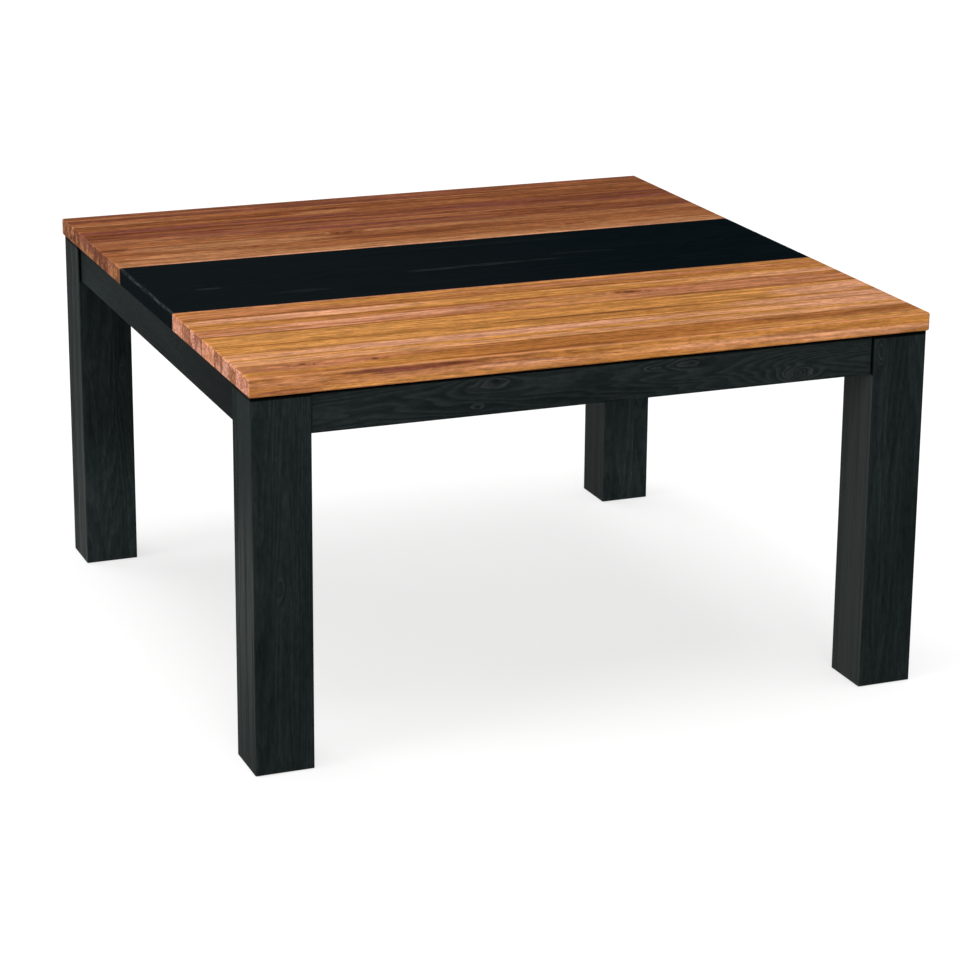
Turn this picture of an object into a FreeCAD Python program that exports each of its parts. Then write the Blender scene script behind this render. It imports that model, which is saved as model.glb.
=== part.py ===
"""Square dining table: hardwood panels either side of a black centre panel, on a black frame.

Sizes are in millimetres. The origin is the middle of the footprint, on the floor.
X runs along the front edge, the front faces -Y and +Z is up.
"""
import FreeCAD, Part
import math
import os

Vector = FreeCAD.Vector

# Whole table
TOP_WIDTH = 1300.0
TOP_DEPTH = 1300.0
TABLE_HEIGHT = 720.0

# Top: the shares say how a panel's width is divided among its boards, from the middle outwards
TOP_THICKNESS = 34.0
TOP_EDGE_RADIUS = 3.5
TOP_LOWER_CHAMFER = 2.5
CENTRE_WIDTH = 369.0
CENTRE_SHARES = {"front": 1, "middle": 1, "back": 1}
FRONT_STAVE_SHARES = (68, 45, 75, 78, 42, 82, 75)
BACK_STAVE_SHARES = (47, 48, 68, 81, 74, 79, 68)

# Loose tongues between the centre panel and the hardwood panels
TONGUE_WIDTH = 24.0
TONGUE_THICKNESS = 10.0
TONGUE_STOP = 40.0
TONGUE_PLAY = 0.2

# Legs, each glued up from three laminations
LEG_SIZE = 108.0
LEG_INSET = 4.0
LEG_EDGE_RADIUS = 3.0
LAMINATION_SHARES = {"inner": 1, "core": 1, "outer": 1}

# Aprons and their stub tenons
APRON_HEIGHT = 75.0
APRON_THICKNESS = 30.0
APRON_SETBACK = 6.0
APRON_LOWER_CHAMFER = 1.5
APRON_END_CHAMFER = 3.0
TENON_LENGTH = 28.0
TENON_THICKNESS = 12.0
TENON_TOP_SHOULDER = 14.0
TENON_LOWER_SHOULDER = 10.0
TENON_PLAY = 0.15
TENON_END_GAP = 1.0

# Corner blocks
BLOCK_THICKNESS = 36.0
BLOCK_DROP = 4.0
BLOCK_RISE = 7.0
BLOCK_TIP = 10.0
BLOCK_SEAT_GAP = 6.0
LEG_SEAT_CHAMFER = 26.0

# Round hardware is small and repeats, so it has flat sides
SCREW_SIDES = 8
BOLT_SIDES = 10
GLIDE_SIDES = 20
POINT_RADIUS = 0.4

# Hanger bolts with their washers and nuts
BOLT_DIAMETER = 8.0
BOLTS_PER_CORNER = 2
BOLT_LENGTH = 100.0
BOLT_BITE = 45.0
BOLT_POINT = 7.0
BOLT_END_CHAMFER = 1.0
BOLT_SPACING = 36.0
BOLT_PLAY = 0.1
BOLT_CLEARANCE = 0.5
WASHER_DIAMETER = 24.0
WASHER_THICKNESS = 2.0
NUT_SIDES = 6
NUT_ACROSS_FLATS = 13.0
NUT_THICKNESS = 6.5

# Wood screws: one diameter, several lengths
SCREW_DIAMETER = 4.5
SCREW_HEAD_DIAMETER = 9.0
SCREW_PLAY = 0.1
PAN_HEAD_HEIGHT = 3.2
BLOCK_SCREW_LENGTH = 55.0
BLOCK_SCREW_EDGE = 16.0
BUTTON_SCREW_LENGTH = 40.0
BATTEN_SCREW_LENGTH = 40.0

# Wooden buttons that hook the top to the aprons
BUTTONS_PER_APRON = 3
BUTTON_SPACING = 320.0
BUTTON_WIDTH = 38.0
BUTTON_LENGTH = 40.0
BUTTON_TONGUE = 10.0
BUTTON_FACE_GAP = 0.5
BUTTON_DRAW_GAP = 0.3
BUTTON_CHAMFER = 4.0
BUTTON_SLOT_LENGTH = 60.0
BUTTON_SLOT_HEIGHT = 10.0
BUTTON_SLOT_DEPTH = 12.0
BUTTON_SLOT_DROP = 14.0
BUTTON_SLOT_PLAY = 0.4

# Battens under the top, held by screws in slots so that the top can move
BATTEN_OFFSET = 200.0
BATTEN_WIDTH = 80.0
BATTEN_THICKNESS = 22.0
BATTEN_END_GAP = 10.0
BATTEN_END_CHAMFER = 12.0
BATTEN_SCREWS_PER_PANEL = 2
BATTEN_SCREW_SPACING = 260.0
BATTEN_SLOT_TRAVEL = 8.0
BATTEN_SLOT_PLAY = 0.5
BATTEN_RECESS_PLAY = 0.8
BATTEN_RECESS_DEPTH = 6.0

# Foot glides and their nails
GLIDE_DIAMETER = 50.0
GLIDE_THICKNESS = 6.0
GLIDE_REVEAL = 2.0
GLIDE_EDGE = 1.2
GLIDE_PLAY = 0.2
NAIL_DIAMETER = 3.2
NAIL_LENGTH = 30.0
NAIL_POINT = 4.0
NAIL_HEAD_DIAMETER = 9.0
NAIL_HEAD_THICKNESS = 1.5
NAIL_RECESS_DEPTH = 3.0
NAIL_PLAY = 0.1

# Places worked out from the sizes above
TOLERANCE = 1e-6
UP = Vector(0, 0, 1)
ORIGIN = Vector(0, 0, 0)
CORNERS = {"front_left": (-1, -1), "front_right": (1, -1), "back_left": (-1, 1), "back_right": (1, 1)}
INTO_CORNER = Vector(1, 1, 0).normalize()
top_under = TABLE_HEIGHT - TOP_THICKNESS
panel_depth = (TOP_DEPTH - CENTRE_WIDTH) / 2
leg_out_x = TOP_WIDTH / 2 - LEG_INSET
leg_out_y = TOP_DEPTH / 2 - LEG_INSET
leg_in_x = leg_out_x - LEG_SIZE
leg_in_y = leg_out_y - LEG_SIZE
leg_mid = Vector(leg_out_x - LEG_SIZE / 2, leg_out_y - LEG_SIZE / 2, 0)
apron_bottom = top_under - APRON_HEIGHT
apron_out_x = leg_out_x - APRON_SETBACK
apron_out_y = leg_out_y - APRON_SETBACK
apron_in_x = apron_out_x - APRON_THICKNESS
apron_in_y = apron_out_y - APRON_THICKNESS
screw_radius = SCREW_DIAMETER / 2
screw_head_radius = SCREW_HEAD_DIAMETER / 2
bolt_radius = BOLT_DIAMETER / 2
nail_radius = NAIL_DIAMETER / 2
nail_head_radius = NAIL_HEAD_DIAMETER / 2
countersunk_head = ((screw_head_radius, 0), (screw_radius, screw_head_radius - screw_radius))
pan_head = ((screw_head_radius, 0), (screw_head_radius, PAN_HEAD_HEIGHT), (screw_radius, PAN_HEAD_HEIGHT))


def box(x_span, y_span, z_span):
    """Rectangular block between pairs of coordinates."""
    size = [max(span) - min(span) for span in (x_span, y_span, z_span)]
    return Part.makeBox(*size, Vector(min(x_span), min(y_span), min(z_span)))


def prism(points, height):
    """Upright block on the closed outline given by points."""
    face = Part.Face(Part.makePolygon(list(points) + [points[0]]))
    return face.extrude(UP * height)


def ring(radius, height, sides):
    """Corners of a regular polygon about Z."""
    turns = [2 * math.pi * index / sides for index in range(sides)]
    return [Vector(radius * math.cos(turn), radius * math.sin(turn), height) for turn in turns]


def faceted(stations, sides):
    """Round piece about Z with flat sides, through (radius, height) stations from its foot up."""
    rings = [ring(radius, height, sides) for radius, height in stations]
    outlines = [rings[0], rings[-1]]
    for lower, upper in zip(rings[:-1], rings[1:]):
        for index in range(sides):
            outlines.append((lower[index - 1], lower[index], upper[index], upper[index - 1]))
    faces = [Part.Face(Part.makePolygon([*outline, outline[0]])) for outline in outlines]
    solid = Part.Solid(Part.Shell(faces)).removeSplitter()
    if solid.Volume < 0:
        solid.reverse()
    return solid


def straight(radius, length, sides):
    """Straight round piece upwards from the origin, or the hole for one, with flat sides."""
    return faceted([(radius, 0), (radius, length)], sides)


def placed(shape, base, direction):
    """Copy of a shape built along +Z, with its origin at base and its Z along direction."""
    result = shape.copy()
    result.Placement = FreeCAD.Placement(base, FreeCAD.Rotation(UP, direction))
    return result


def turned(shape, angle):
    """Copy of a shape turned about the middle of the table."""
    result = shape.copy()
    result.rotate(ORIGIN, UP, angle)
    return result


def to_corner(shape, side_x, side_y):
    """Copy of a shape built at the back right corner, mirrored to the corner with these signs."""
    result = shape.copy()
    if side_x < 0:
        result = result.mirror(ORIGIN, Vector(1, 0, 0))
    if side_y < 0:
        result = result.mirror(ORIGIN, Vector(0, 1, 0))
    return result


def at_corners(shapes):
    """The shapes of the back right corner, repeated at all four corners."""
    return [to_corner(shape, *sides) for sides in CORNERS.values() for shape in shapes]


def cut_near(solid, tools):
    """Solid less those tools that reach it."""
    near = [tool for tool in tools if solid.BoundBox.intersect(tool.BoundBox)]
    return solid.cut(near).Solids[0] if near else solid


def is_upright(edge):
    """Whether an edge runs straight up."""
    ends = edge.BoundBox
    return ends.XLength + ends.YLength < TOLERANCE


def is_level(edge, height):
    """Whether an edge lies level at this height."""
    ends = edge.BoundBox
    return max(abs(ends.ZMin - height), abs(ends.ZMax - height)) < TOLERANCE


def is_across(edge, height):
    """Whether an edge lies level at this height and runs along X."""
    return is_level(edge, height) and edge.BoundBox.YLength < TOLERANCE


def divide(start, end, shares):
    """Pairs of coordinates that divide the way from start to end in proportion to shares."""
    step = (end - start) / sum(shares)
    lines = [start + step * sum(shares[:index]) for index in range(len(shares) + 1)]
    return list(zip(lines[:-1], lines[1:]))


def spread(count, spacing):
    """Evenly spaced coordinates about zero."""
    return [spacing * (index - (count - 1) / 2) for index in range(count)]


def save(name, solids):
    """Write one node, a single piece or a group of like pieces."""
    shape = solids[0] if len(solids) == 1 else Part.makeCompound(solids)
    shape.exportStep(os.path.join("parts", name + ".step"))


def screw(length, head):
    """Tapered wood screw along +Z, with the outer face of its head at the origin."""
    return faceted([*head, (POINT_RADIUS, length)], SCREW_SIDES)


def screw_hole(length, head):
    """Space that a screw and its head take up in the wood."""
    stations = [*head, (POINT_RADIUS, length + SCREW_PLAY)]
    return faceted([(radius + SCREW_PLAY, height) for radius, height in stations], SCREW_SIDES)


def slot(centre, travel, radius, depth):
    """Round-ended slot along Y, cut upwards from centre."""
    ends = [centre - Vector(0, travel / 2, 0), centre + Vector(0, travel / 2, 0)]
    tools = [placed(straight(radius, depth, SCREW_SIDES), end, UP) for end in ends]
    tools.append(Part.makeBox(2 * radius, travel, depth, ends[0] - Vector(radius, 0, 0)))
    return tools[0].fuse(tools[1:]).removeSplitter()


# Top

def tongue_spans(side, play):
    """Spans of a loose tongue at the joint on this side, or of its groove with some play."""
    half_length = TOP_WIDTH / 2 - TONGUE_STOP + play
    joint = side * CENTRE_WIDTH / 2
    half_width = TONGUE_WIDTH / 2 + play
    middle = top_under + TOP_THICKNESS / 2
    half_thickness = TONGUE_THICKNESS / 2 + play
    return (
        (-half_length, half_length),
        (joint - half_width, joint + half_width),
        (middle - half_thickness, middle + half_thickness),
    )


def make_top(screw_holes):
    """Boards of the top, cut from a slab rounded above and chamfered below, and the tongues between."""
    half_width = TOP_WIDTH / 2
    half_depth = TOP_DEPTH / 2
    half_centre = CENTRE_WIDTH / 2
    slab = box((-half_width, half_width), (-half_depth, half_depth), (top_under, TABLE_HEIGHT))
    slab = slab.makeFillet(TOP_EDGE_RADIUS, [edge for edge in slab.Edges if not is_level(edge, top_under)])
    slab = slab.makeChamfer(TOP_LOWER_CHAMFER, [edge for edge in slab.Edges if is_level(edge, top_under)])
    grooves = [box(*tongue_spans(side, TONGUE_PLAY)) for side in (-1, 1)]
    boards = {}
    for name, side, shares in (("front", -1, FRONT_STAVE_SHARES), ("back", 1, BACK_STAVE_SHARES)):
        spans = divide(side * half_centre, side * half_depth, shares)
        for number, span in enumerate(spans, 1):
            boards[f"{name}_stave_{number}"] = span
        save(f"{name}_tongue", [box(*tongue_spans(side, 0))])
    centre_spans = divide(-half_centre, half_centre, list(CENTRE_SHARES.values()))
    for name, span in zip(CENTRE_SHARES, centre_spans):
        boards[f"centre_board_{name}"] = span
    for name, span in boards.items():
        board = slab.common(box((-half_width, half_width), span, (top_under, TABLE_HEIGHT)))
        save(name, [cut_near(board.Solids[0], grooves + screw_holes)])


# Legs and glides, modelled at the back right corner

def tenon_height_span(play):
    """Height of a tenon, or of its mortise with some play."""
    return (apron_bottom + TENON_LOWER_SHOULDER - play, top_under - TENON_TOP_SHOULDER + play)


def mortises():
    """Mortises for the two aprons that meet at the leg."""
    half_thickness = TENON_THICKNESS / 2 + TENON_PLAY
    middle_x = apron_out_x - APRON_THICKNESS / 2
    middle_y = apron_out_y - APRON_THICKNESS / 2
    depth = TENON_LENGTH + TENON_END_GAP
    heights = tenon_height_span(TENON_PLAY)
    return [
        box((leg_in_x, leg_in_x + depth), (middle_y - half_thickness, middle_y + half_thickness), heights),
        box((middle_x - half_thickness, middle_x + half_thickness), (leg_in_y, leg_in_y + depth), heights),
    ]


def bolt_seat():
    """Wedge cut off the leg's inner corner, which makes a flat for the hanger bolts."""
    base = Vector(leg_in_x, leg_in_y, apron_bottom)
    outline = [base, base + Vector(LEG_SEAT_CHAMFER, 0, 0), base + Vector(0, LEG_SEAT_CHAMFER, 0)]
    return prism(outline, APRON_HEIGHT)


def make_leg():
    """Leg with eased edges, mortises, bolt seat and holes, and the counterbore for its glide."""
    leg = box((leg_in_x, leg_out_x), (leg_in_y, leg_out_y), (GLIDE_REVEAL, top_under))
    leg = leg.makeFillet(LEG_EDGE_RADIUS, [edge for edge in leg.Edges if is_upright(edge)])
    glide_seat = straight(GLIDE_DIAMETER / 2 + GLIDE_PLAY, GLIDE_THICKNESS, GLIDE_SIDES)
    nail_hole = straight(nail_radius + NAIL_PLAY, nail_top() + NAIL_PLAY, SCREW_SIDES)
    bolt_hole = straight(bolt_radius + BOLT_PLAY, BOLT_BITE + BOLT_PLAY, BOLT_SIDES)
    holes = [placed(glide_seat, leg_mid, UP), placed(nail_hole, leg_mid, UP)]
    holes += [placed(bolt_hole, base, INTO_CORNER) for base in bolt_places(leg_seat_middle())]
    return leg.cut(mortises() + holes + [bolt_seat()]).Solids[0]


def nail_top():
    """Height of a glide nail's point above the floor."""
    return NAIL_RECESS_DEPTH - NAIL_HEAD_THICKNESS + NAIL_LENGTH


def make_glide():
    """Round glide with an eased foot and a recess for the nail's head."""
    rim = GLIDE_DIAMETER / 2
    glide = faceted([(rim - GLIDE_EDGE, 0), (rim, GLIDE_EDGE), (rim, GLIDE_THICKNESS)], GLIDE_SIDES)
    recess = straight(nail_head_radius + NAIL_PLAY, NAIL_RECESS_DEPTH, SCREW_SIDES)
    nail_hole = straight(nail_radius + NAIL_PLAY, GLIDE_THICKNESS, SCREW_SIDES)
    return placed(glide.cut([recess, nail_hole]).Solids[0], leg_mid, UP)


def make_nail():
    """Nail that holds a glide, its head bearing on the recess's floor."""
    head_under = NAIL_RECESS_DEPTH
    head_face = NAIL_RECESS_DEPTH - NAIL_HEAD_THICKNESS
    head = [(nail_head_radius, head_face), (nail_head_radius, head_under), (nail_radius, head_under)]
    point = [(nail_radius, nail_top() - NAIL_POINT), (POINT_RADIUS, nail_top())]
    return placed(faceted(head + point, SCREW_SIDES), leg_mid, UP)


# Corner blocks and hanger bolts, modelled at the back right corner

def leg_seat_middle():
    """Middle of the flat on the leg's inner corner, at the apron's lower edge."""
    half_flat = LEG_SEAT_CHAMFER / 2
    return Vector(leg_in_x + half_flat, leg_in_y + half_flat, apron_bottom)


def block_face_middle(depth):
    """Middle of the corner block at a depth behind its outer face, at the apron's lower edge."""
    return leg_seat_middle() - INTO_CORNER * (BLOCK_SEAT_GAP + depth)


def block_middle_height():
    """Height of the block's middle above the apron's lower edge."""
    return (BLOCK_RISE + APRON_HEIGHT - BLOCK_DROP) / 2


def bolt_places(base):
    """Places of a corner's hanger bolts above a point at the apron's lower edge."""
    middle = base + UP * block_middle_height()
    return [middle + UP * offset for offset in spread(BOLTS_PER_CORNER, BOLT_SPACING)]


def diagonal_sum(point):
    """X plus Y of a point, which is the same all along a corner's diagonal face."""
    return point.x + point.y


def block_tips():
    """Blunt ends of the block's inner face: beside the back apron and beside the right apron."""
    inner = diagonal_sum(block_face_middle(BLOCK_THICKNESS))
    reach_x = apron_in_x - BLOCK_TIP
    reach_y = apron_in_y - BLOCK_TIP
    return Vector(inner - reach_y, reach_y, 0), Vector(reach_x, inner - reach_x, 0)


def make_block(screw_holes):
    """Mitred block between the aprons, clear of the leg so that the bolts can draw the leg in."""
    outer = diagonal_sum(block_face_middle(0))
    by_back, by_right = block_tips()
    outline = [
        by_back,
        Vector(by_back.x, apron_in_y, 0),
        Vector(outer - apron_in_y, apron_in_y, 0),
        Vector(apron_in_x, outer - apron_in_x, 0),
        Vector(apron_in_x, by_right.y, 0),
        by_right,
    ]
    block = prism(outline, APRON_HEIGHT - BLOCK_RISE - BLOCK_DROP)
    block.translate(UP * (apron_bottom + BLOCK_RISE))
    bolt_hole = straight(bolt_radius + BOLT_CLEARANCE, BLOCK_THICKNESS, BOLT_SIDES)
    bases = bolt_places(block_face_middle(BLOCK_THICKNESS))
    bolt_holes = [placed(bolt_hole, base, INTO_CORNER) for base in bases]
    return block.cut(screw_holes + bolt_holes).Solids[0]


def block_screw_places():
    """Heads of a block's screws, near both ends of its inner face."""
    along = Vector(1, -1, 0).normalize() * BLOCK_SCREW_EDGE
    by_back, by_right = block_tips()
    places = []
    for end in (by_back + along, by_right - along):
        places += bolt_places(Vector(end.x, end.y, apron_bottom))
    return places


def make_bolts():
    """Hanger bolts, with washers and nuts stacked on the block's inner face."""
    free_end = [(bolt_radius - BOLT_END_CHAMFER, 0), (bolt_radius, BOLT_END_CHAMFER)]
    wood_end = [(bolt_radius, BOLT_LENGTH - BOLT_POINT), (POINT_RADIUS, BOLT_LENGTH)]
    bolt = faceted(free_end + wood_end, BOLT_SIDES)
    washer = straight(WASHER_DIAMETER / 2, WASHER_THICKNESS, BOLT_SIDES)
    washer = washer.cut(straight(bolt_radius + BOLT_CLEARANCE, WASHER_THICKNESS, BOLT_SIDES)).Solids[0]
    across_corners = NUT_ACROSS_FLATS / math.cos(math.pi / NUT_SIDES)
    nut = straight(across_corners / 2, NUT_THICKNESS, NUT_SIDES)
    nut = nut.cut(straight(bolt_radius + BOLT_PLAY, NUT_THICKNESS, BOLT_SIDES)).Solids[0]
    stack = {
        "hanger_bolts": (bolt, leg_seat_middle() + INTO_CORNER * (BOLT_BITE - BOLT_LENGTH)),
        "bolt_washers": (washer, block_face_middle(BLOCK_THICKNESS + WASHER_THICKNESS)),
        "bolt_nuts": (nut, block_face_middle(BLOCK_THICKNESS + WASHER_THICKNESS + NUT_THICKNESS)),
    }
    for name, (shape, base) in stack.items():
        save(name, at_corners([placed(shape, place, INTO_CORNER) for place in bolt_places(base)]))


# Aprons and buttons, modelled along the back edge and turned to each side

def make_apron(inner_length, outer_face):
    """Apron with a tenon at each end and slots for the buttons."""
    half_length = inner_length / 2
    inner_face = outer_face - APRON_THICKNESS
    board = box((-half_length, half_length), (inner_face, outer_face), (apron_bottom, top_under))
    upright = [edge for edge in board.Edges if is_upright(edge)]
    outer = [edge for edge in upright if edge.BoundBox.YMax > inner_face + TOLERANCE]
    board = board.makeChamfer(APRON_END_CHAMFER, outer)
    lower = [edge for edge in board.Edges if is_across(edge, apron_bottom)]
    board = board.makeChamfer(APRON_LOWER_CHAMFER, lower)
    middle = outer_face - APRON_THICKNESS / 2
    tenon = box(
        (-half_length - TENON_LENGTH, half_length + TENON_LENGTH),
        (middle - TENON_THICKNESS / 2, middle + TENON_THICKNESS / 2),
        tenon_height_span(0),
    )
    slot_top = top_under - BUTTON_SLOT_DROP
    slots = [
        box(
            (place - BUTTON_SLOT_LENGTH / 2, place + BUTTON_SLOT_LENGTH / 2),
            (inner_face, inner_face + BUTTON_SLOT_DEPTH),
            (slot_top - BUTTON_SLOT_HEIGHT, slot_top),
        )
        for place in spread(BUTTONS_PER_APRON, BUTTON_SPACING)
    ]
    return board.fuse(tenon).cut(slots).removeSplitter()


def button_foot():
    """Height of a button's lower face, with its tongue against the top of its slot."""
    return top_under - BUTTON_SLOT_DROP - BUTTON_SLOT_HEIGHT + BUTTON_SLOT_PLAY


def make_button(place, outer_face, screw_space):
    """Wooden button with its tongue in the apron's slot, screwed up to the top."""
    face = outer_face - APRON_THICKNESS - BUTTON_FACE_GAP
    foot = button_foot()
    head = top_under - BUTTON_DRAW_GAP
    tongue_top = top_under - BUTTON_SLOT_DROP
    left = place - BUTTON_WIDTH / 2
    outline = [
        (face + BUTTON_TONGUE, foot), (face + BUTTON_TONGUE, tongue_top), (face, tongue_top), (face, head),
        (face - BUTTON_LENGTH, head), (face - BUTTON_LENGTH, foot + BUTTON_CHAMFER),
        (face - BUTTON_LENGTH + BUTTON_CHAMFER, foot),
    ]
    corners = [Vector(left, y, z) for y, z in outline]
    profile = Part.Face(Part.makePolygon(corners + [corners[0]]))
    return profile.extrude(Vector(BUTTON_WIDTH, 0, 0)).cut(screw_space).Solids[0]


def button_screw_place(place, outer_face):
    """Head of a button's screw, on the button's lower face."""
    return Vector(place, outer_face - APRON_THICKNESS - BUTTON_FACE_GAP - BUTTON_LENGTH / 2, button_foot())


def make_apron_sides(block_holes):
    """Aprons, buttons and button screws of all four sides. Returns the screw holes in the top."""
    sides = {
        "back": (0, 2 * leg_in_x, apron_out_y),
        "left": (90, 2 * leg_in_y, apron_out_x),
        "front": (180, 2 * leg_in_x, apron_out_y),
        "right": (270, 2 * leg_in_y, apron_out_x),
    }
    button_screw = screw(BUTTON_SCREW_LENGTH, countersunk_head)
    button_hole = screw_hole(BUTTON_SCREW_LENGTH, countersunk_head)
    buttons = []
    screws = []
    holes = []
    for name, (angle, inner_length, outer_face) in sides.items():
        apron = turned(make_apron(inner_length, outer_face), angle)
        save(f"{name}_apron", [cut_near(apron.Solids[0], block_holes)])
        for place in spread(BUTTONS_PER_APRON, BUTTON_SPACING):
            base = button_screw_place(place, outer_face)
            screw_space = placed(button_hole, base, UP)
            buttons.append(turned(make_button(place, outer_face, screw_space), angle))
            screws.append(turned(placed(button_screw, base, UP), angle))
            holes.append(turned(screw_space, angle))
    save("top_buttons", buttons)
    save("button_screws", screws)
    return holes


# Battens

def batten_screw_places(middle):
    """Seats of a batten's screw heads, two under each panel of the top."""
    seat = top_under - BATTEN_THICKNESS + BATTEN_RECESS_DEPTH
    panel_middle = (CENTRE_WIDTH + panel_depth) / 2
    return [
        Vector(middle, panel + offset, seat)
        for panel in (-panel_middle, 0, panel_middle)
        for offset in spread(BATTEN_SCREWS_PER_PANEL, BATTEN_SCREW_SPACING)
    ]


def make_batten(middle):
    """Batten across the three panels, with a recessed slot for each screw."""
    half_length = apron_in_y - BATTEN_END_GAP
    under = top_under - BATTEN_THICKNESS
    span = (middle - BATTEN_WIDTH / 2, middle + BATTEN_WIDTH / 2)
    board = box(span, (-half_length, half_length), (under, top_under))
    board = board.makeChamfer(BATTEN_END_CHAMFER, [edge for edge in board.Edges if is_across(edge, under)])
    slots = []
    for seat in batten_screw_places(middle):
        slots.append(slot(seat, BATTEN_SLOT_TRAVEL, screw_radius + BATTEN_SLOT_PLAY, BATTEN_THICKNESS))
        recess = seat - UP * BATTEN_RECESS_DEPTH
        recess_radius = screw_head_radius + BATTEN_RECESS_PLAY
        slots.append(slot(recess, BATTEN_SLOT_TRAVEL, recess_radius, BATTEN_RECESS_DEPTH))
    return board.cut(slots).Solids[0]


def make_battens():
    """Both battens and their screws. Returns the screw holes in the top."""
    batten_screw = screw(BATTEN_SCREW_LENGTH, pan_head)
    batten_hole = screw_hole(BATTEN_SCREW_LENGTH, pan_head)
    screws = []
    holes = []
    for name, middle in (("left", -BATTEN_OFFSET), ("right", BATTEN_OFFSET)):
        save(f"{name}_batten", [make_batten(middle)])
        for seat in batten_screw_places(middle):
            base = seat - UP * PAN_HEAD_HEIGHT
            screws.append(placed(batten_screw, base, UP))
            holes.append(placed(batten_hole, base, UP))
    save("batten_screws", screws)
    return holes


def make_corners():
    """Legs, glides, corner blocks and bolts of all four corners. Returns the block screws' holes."""
    leg = make_leg()
    lamination_spans = divide(leg_in_x, leg_out_x, list(LAMINATION_SHARES.values()))
    block_screw = screw(BLOCK_SCREW_LENGTH, countersunk_head)
    block_hole = screw_hole(BLOCK_SCREW_LENGTH, countersunk_head)
    places = block_screw_places()
    screws = [placed(block_screw, place, INTO_CORNER) for place in places]
    holes = [placed(block_hole, place, INTO_CORNER) for place in places]
    block = make_block(holes)
    for corner, sides in CORNERS.items():
        for name, span in zip(LAMINATION_SHARES, lamination_spans):
            lamination = leg.common(box(span, (leg_in_y, leg_out_y), (GLIDE_REVEAL, top_under)))
            save(f"leg_{corner}_{name}", [to_corner(lamination.Solids[0], *sides)])
        save(f"corner_block_{corner}", [to_corner(block, *sides)])
        save(f"glide_{corner}", [to_corner(make_glide(), *sides)])
    save("glide_nails", at_corners([make_nail()]))
    save("block_screws", at_corners(screws))
    make_bolts()
    return at_corners(holes)


os.makedirs("parts", exist_ok=True)
block_holes = make_corners()
top_holes = make_apron_sides(block_holes) + make_battens()
make_top(top_holes)
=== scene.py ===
"""Looks of a square dining table: hardwood staves, black brushed boards and legs, and bright hardware."""
import functools
import itertools
import math
from typing import NamedTuple

import bpy
from bpy.props import FloatProperty, FloatVectorProperty, PointerProperty
from mathutils import Matrix, Vector


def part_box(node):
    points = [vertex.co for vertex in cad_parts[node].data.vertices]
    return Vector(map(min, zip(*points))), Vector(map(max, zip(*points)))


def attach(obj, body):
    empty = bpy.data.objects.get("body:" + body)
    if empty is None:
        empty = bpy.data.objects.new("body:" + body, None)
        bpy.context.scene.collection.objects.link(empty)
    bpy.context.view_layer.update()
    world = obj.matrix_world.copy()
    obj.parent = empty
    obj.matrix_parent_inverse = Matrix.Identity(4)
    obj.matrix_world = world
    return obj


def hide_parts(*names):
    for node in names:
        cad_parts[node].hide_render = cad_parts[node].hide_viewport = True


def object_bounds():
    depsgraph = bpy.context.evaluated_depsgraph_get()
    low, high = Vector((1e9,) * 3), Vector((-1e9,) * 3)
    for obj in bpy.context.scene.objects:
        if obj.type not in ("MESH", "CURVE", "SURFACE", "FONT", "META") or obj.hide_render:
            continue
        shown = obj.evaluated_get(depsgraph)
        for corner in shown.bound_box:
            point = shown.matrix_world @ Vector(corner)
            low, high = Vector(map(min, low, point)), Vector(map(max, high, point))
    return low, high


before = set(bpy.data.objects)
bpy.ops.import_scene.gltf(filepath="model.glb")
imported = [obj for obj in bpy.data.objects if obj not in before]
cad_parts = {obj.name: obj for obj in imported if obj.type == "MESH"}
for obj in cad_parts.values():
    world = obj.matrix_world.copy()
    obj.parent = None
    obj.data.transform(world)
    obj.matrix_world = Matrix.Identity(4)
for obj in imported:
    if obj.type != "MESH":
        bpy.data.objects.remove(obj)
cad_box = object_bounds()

bl_info = {
    "name": "Square Table",
    "version": (1, 0, 0),
    "blender": (4, 5, 0),
    "location": "View3D > Sidebar > Table",
    "description": "Finishes a square dining table and sets up its studio",
    "category": "Object",
}

# Places read from the frame, in metres
HALF_WIDTH = cad_box[1].x
HALF_DEPTH = cad_box[1].y
TOP_LEVEL = cad_box[1].z
TOP_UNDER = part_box("front_stave_7")[0].z
APRON_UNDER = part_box("front_apron")[0].z

# Names of the legs' corners and laminations
CORNERS = ("front_left", "front_right", "back_left", "back_right")
LAMINATIONS = ("outer", "core", "inner")

# Modelling of the hardware, with distances in metres and angles in radians
MERGE = 1e-6
OVERLAP = 0.0002
ROUND_SIDES = 48
ARC_STEPS = 5
THREAD_STEPS = 20
COPY_TURN = 2.4
SMOOTH_ANGLE = math.radians(32.0)
NUT_CHAMFER = math.radians(30.0)
UP = Vector((0.0, 0.0, 1.0))

# Forms of the hardware, as shares of a pitch, a radius, a rounding, a height or a width
THREAD_CREST = (0.42, 0.58)
EASE = 0.03
PAN_CROWN = ((0.0, 0.0), (0.62, 0.0), (0.84, 0.11), (0.96, 0.30), (1.0, 0.55), (1.0, 0.97), (0.97, 1.0))
SCREW_THROAT = (0.97, 0.7)
RECESS_BAR = (1.15, 0.30)
RECESS_TAPER = (0.4, 0.6, 1.0)
COLLAR_SHARE = 0.95
NUT_FACE = 0.96
NUT_MOUTH = 1.14
WASHER_ROUND = 0.25
WASHER_EDGE = ((2.0, 0.0), (0.6, 0.4), (0.0, 1.4))
NAIL_DOME = ((0.0, 0.0), (0.5, 0.04), (0.85, 0.2), (1.0, 0.6), (0.97, 1.0))
NAIL_NECK = (1.25, 1.3)
NAIL_POINT = 2.5

# Seeds of the boards' figures
CENTRE_SEED = 20
LEG_SEED = 31
APRON_SEED = 50
SOFTWOOD_SEED = 60

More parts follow.
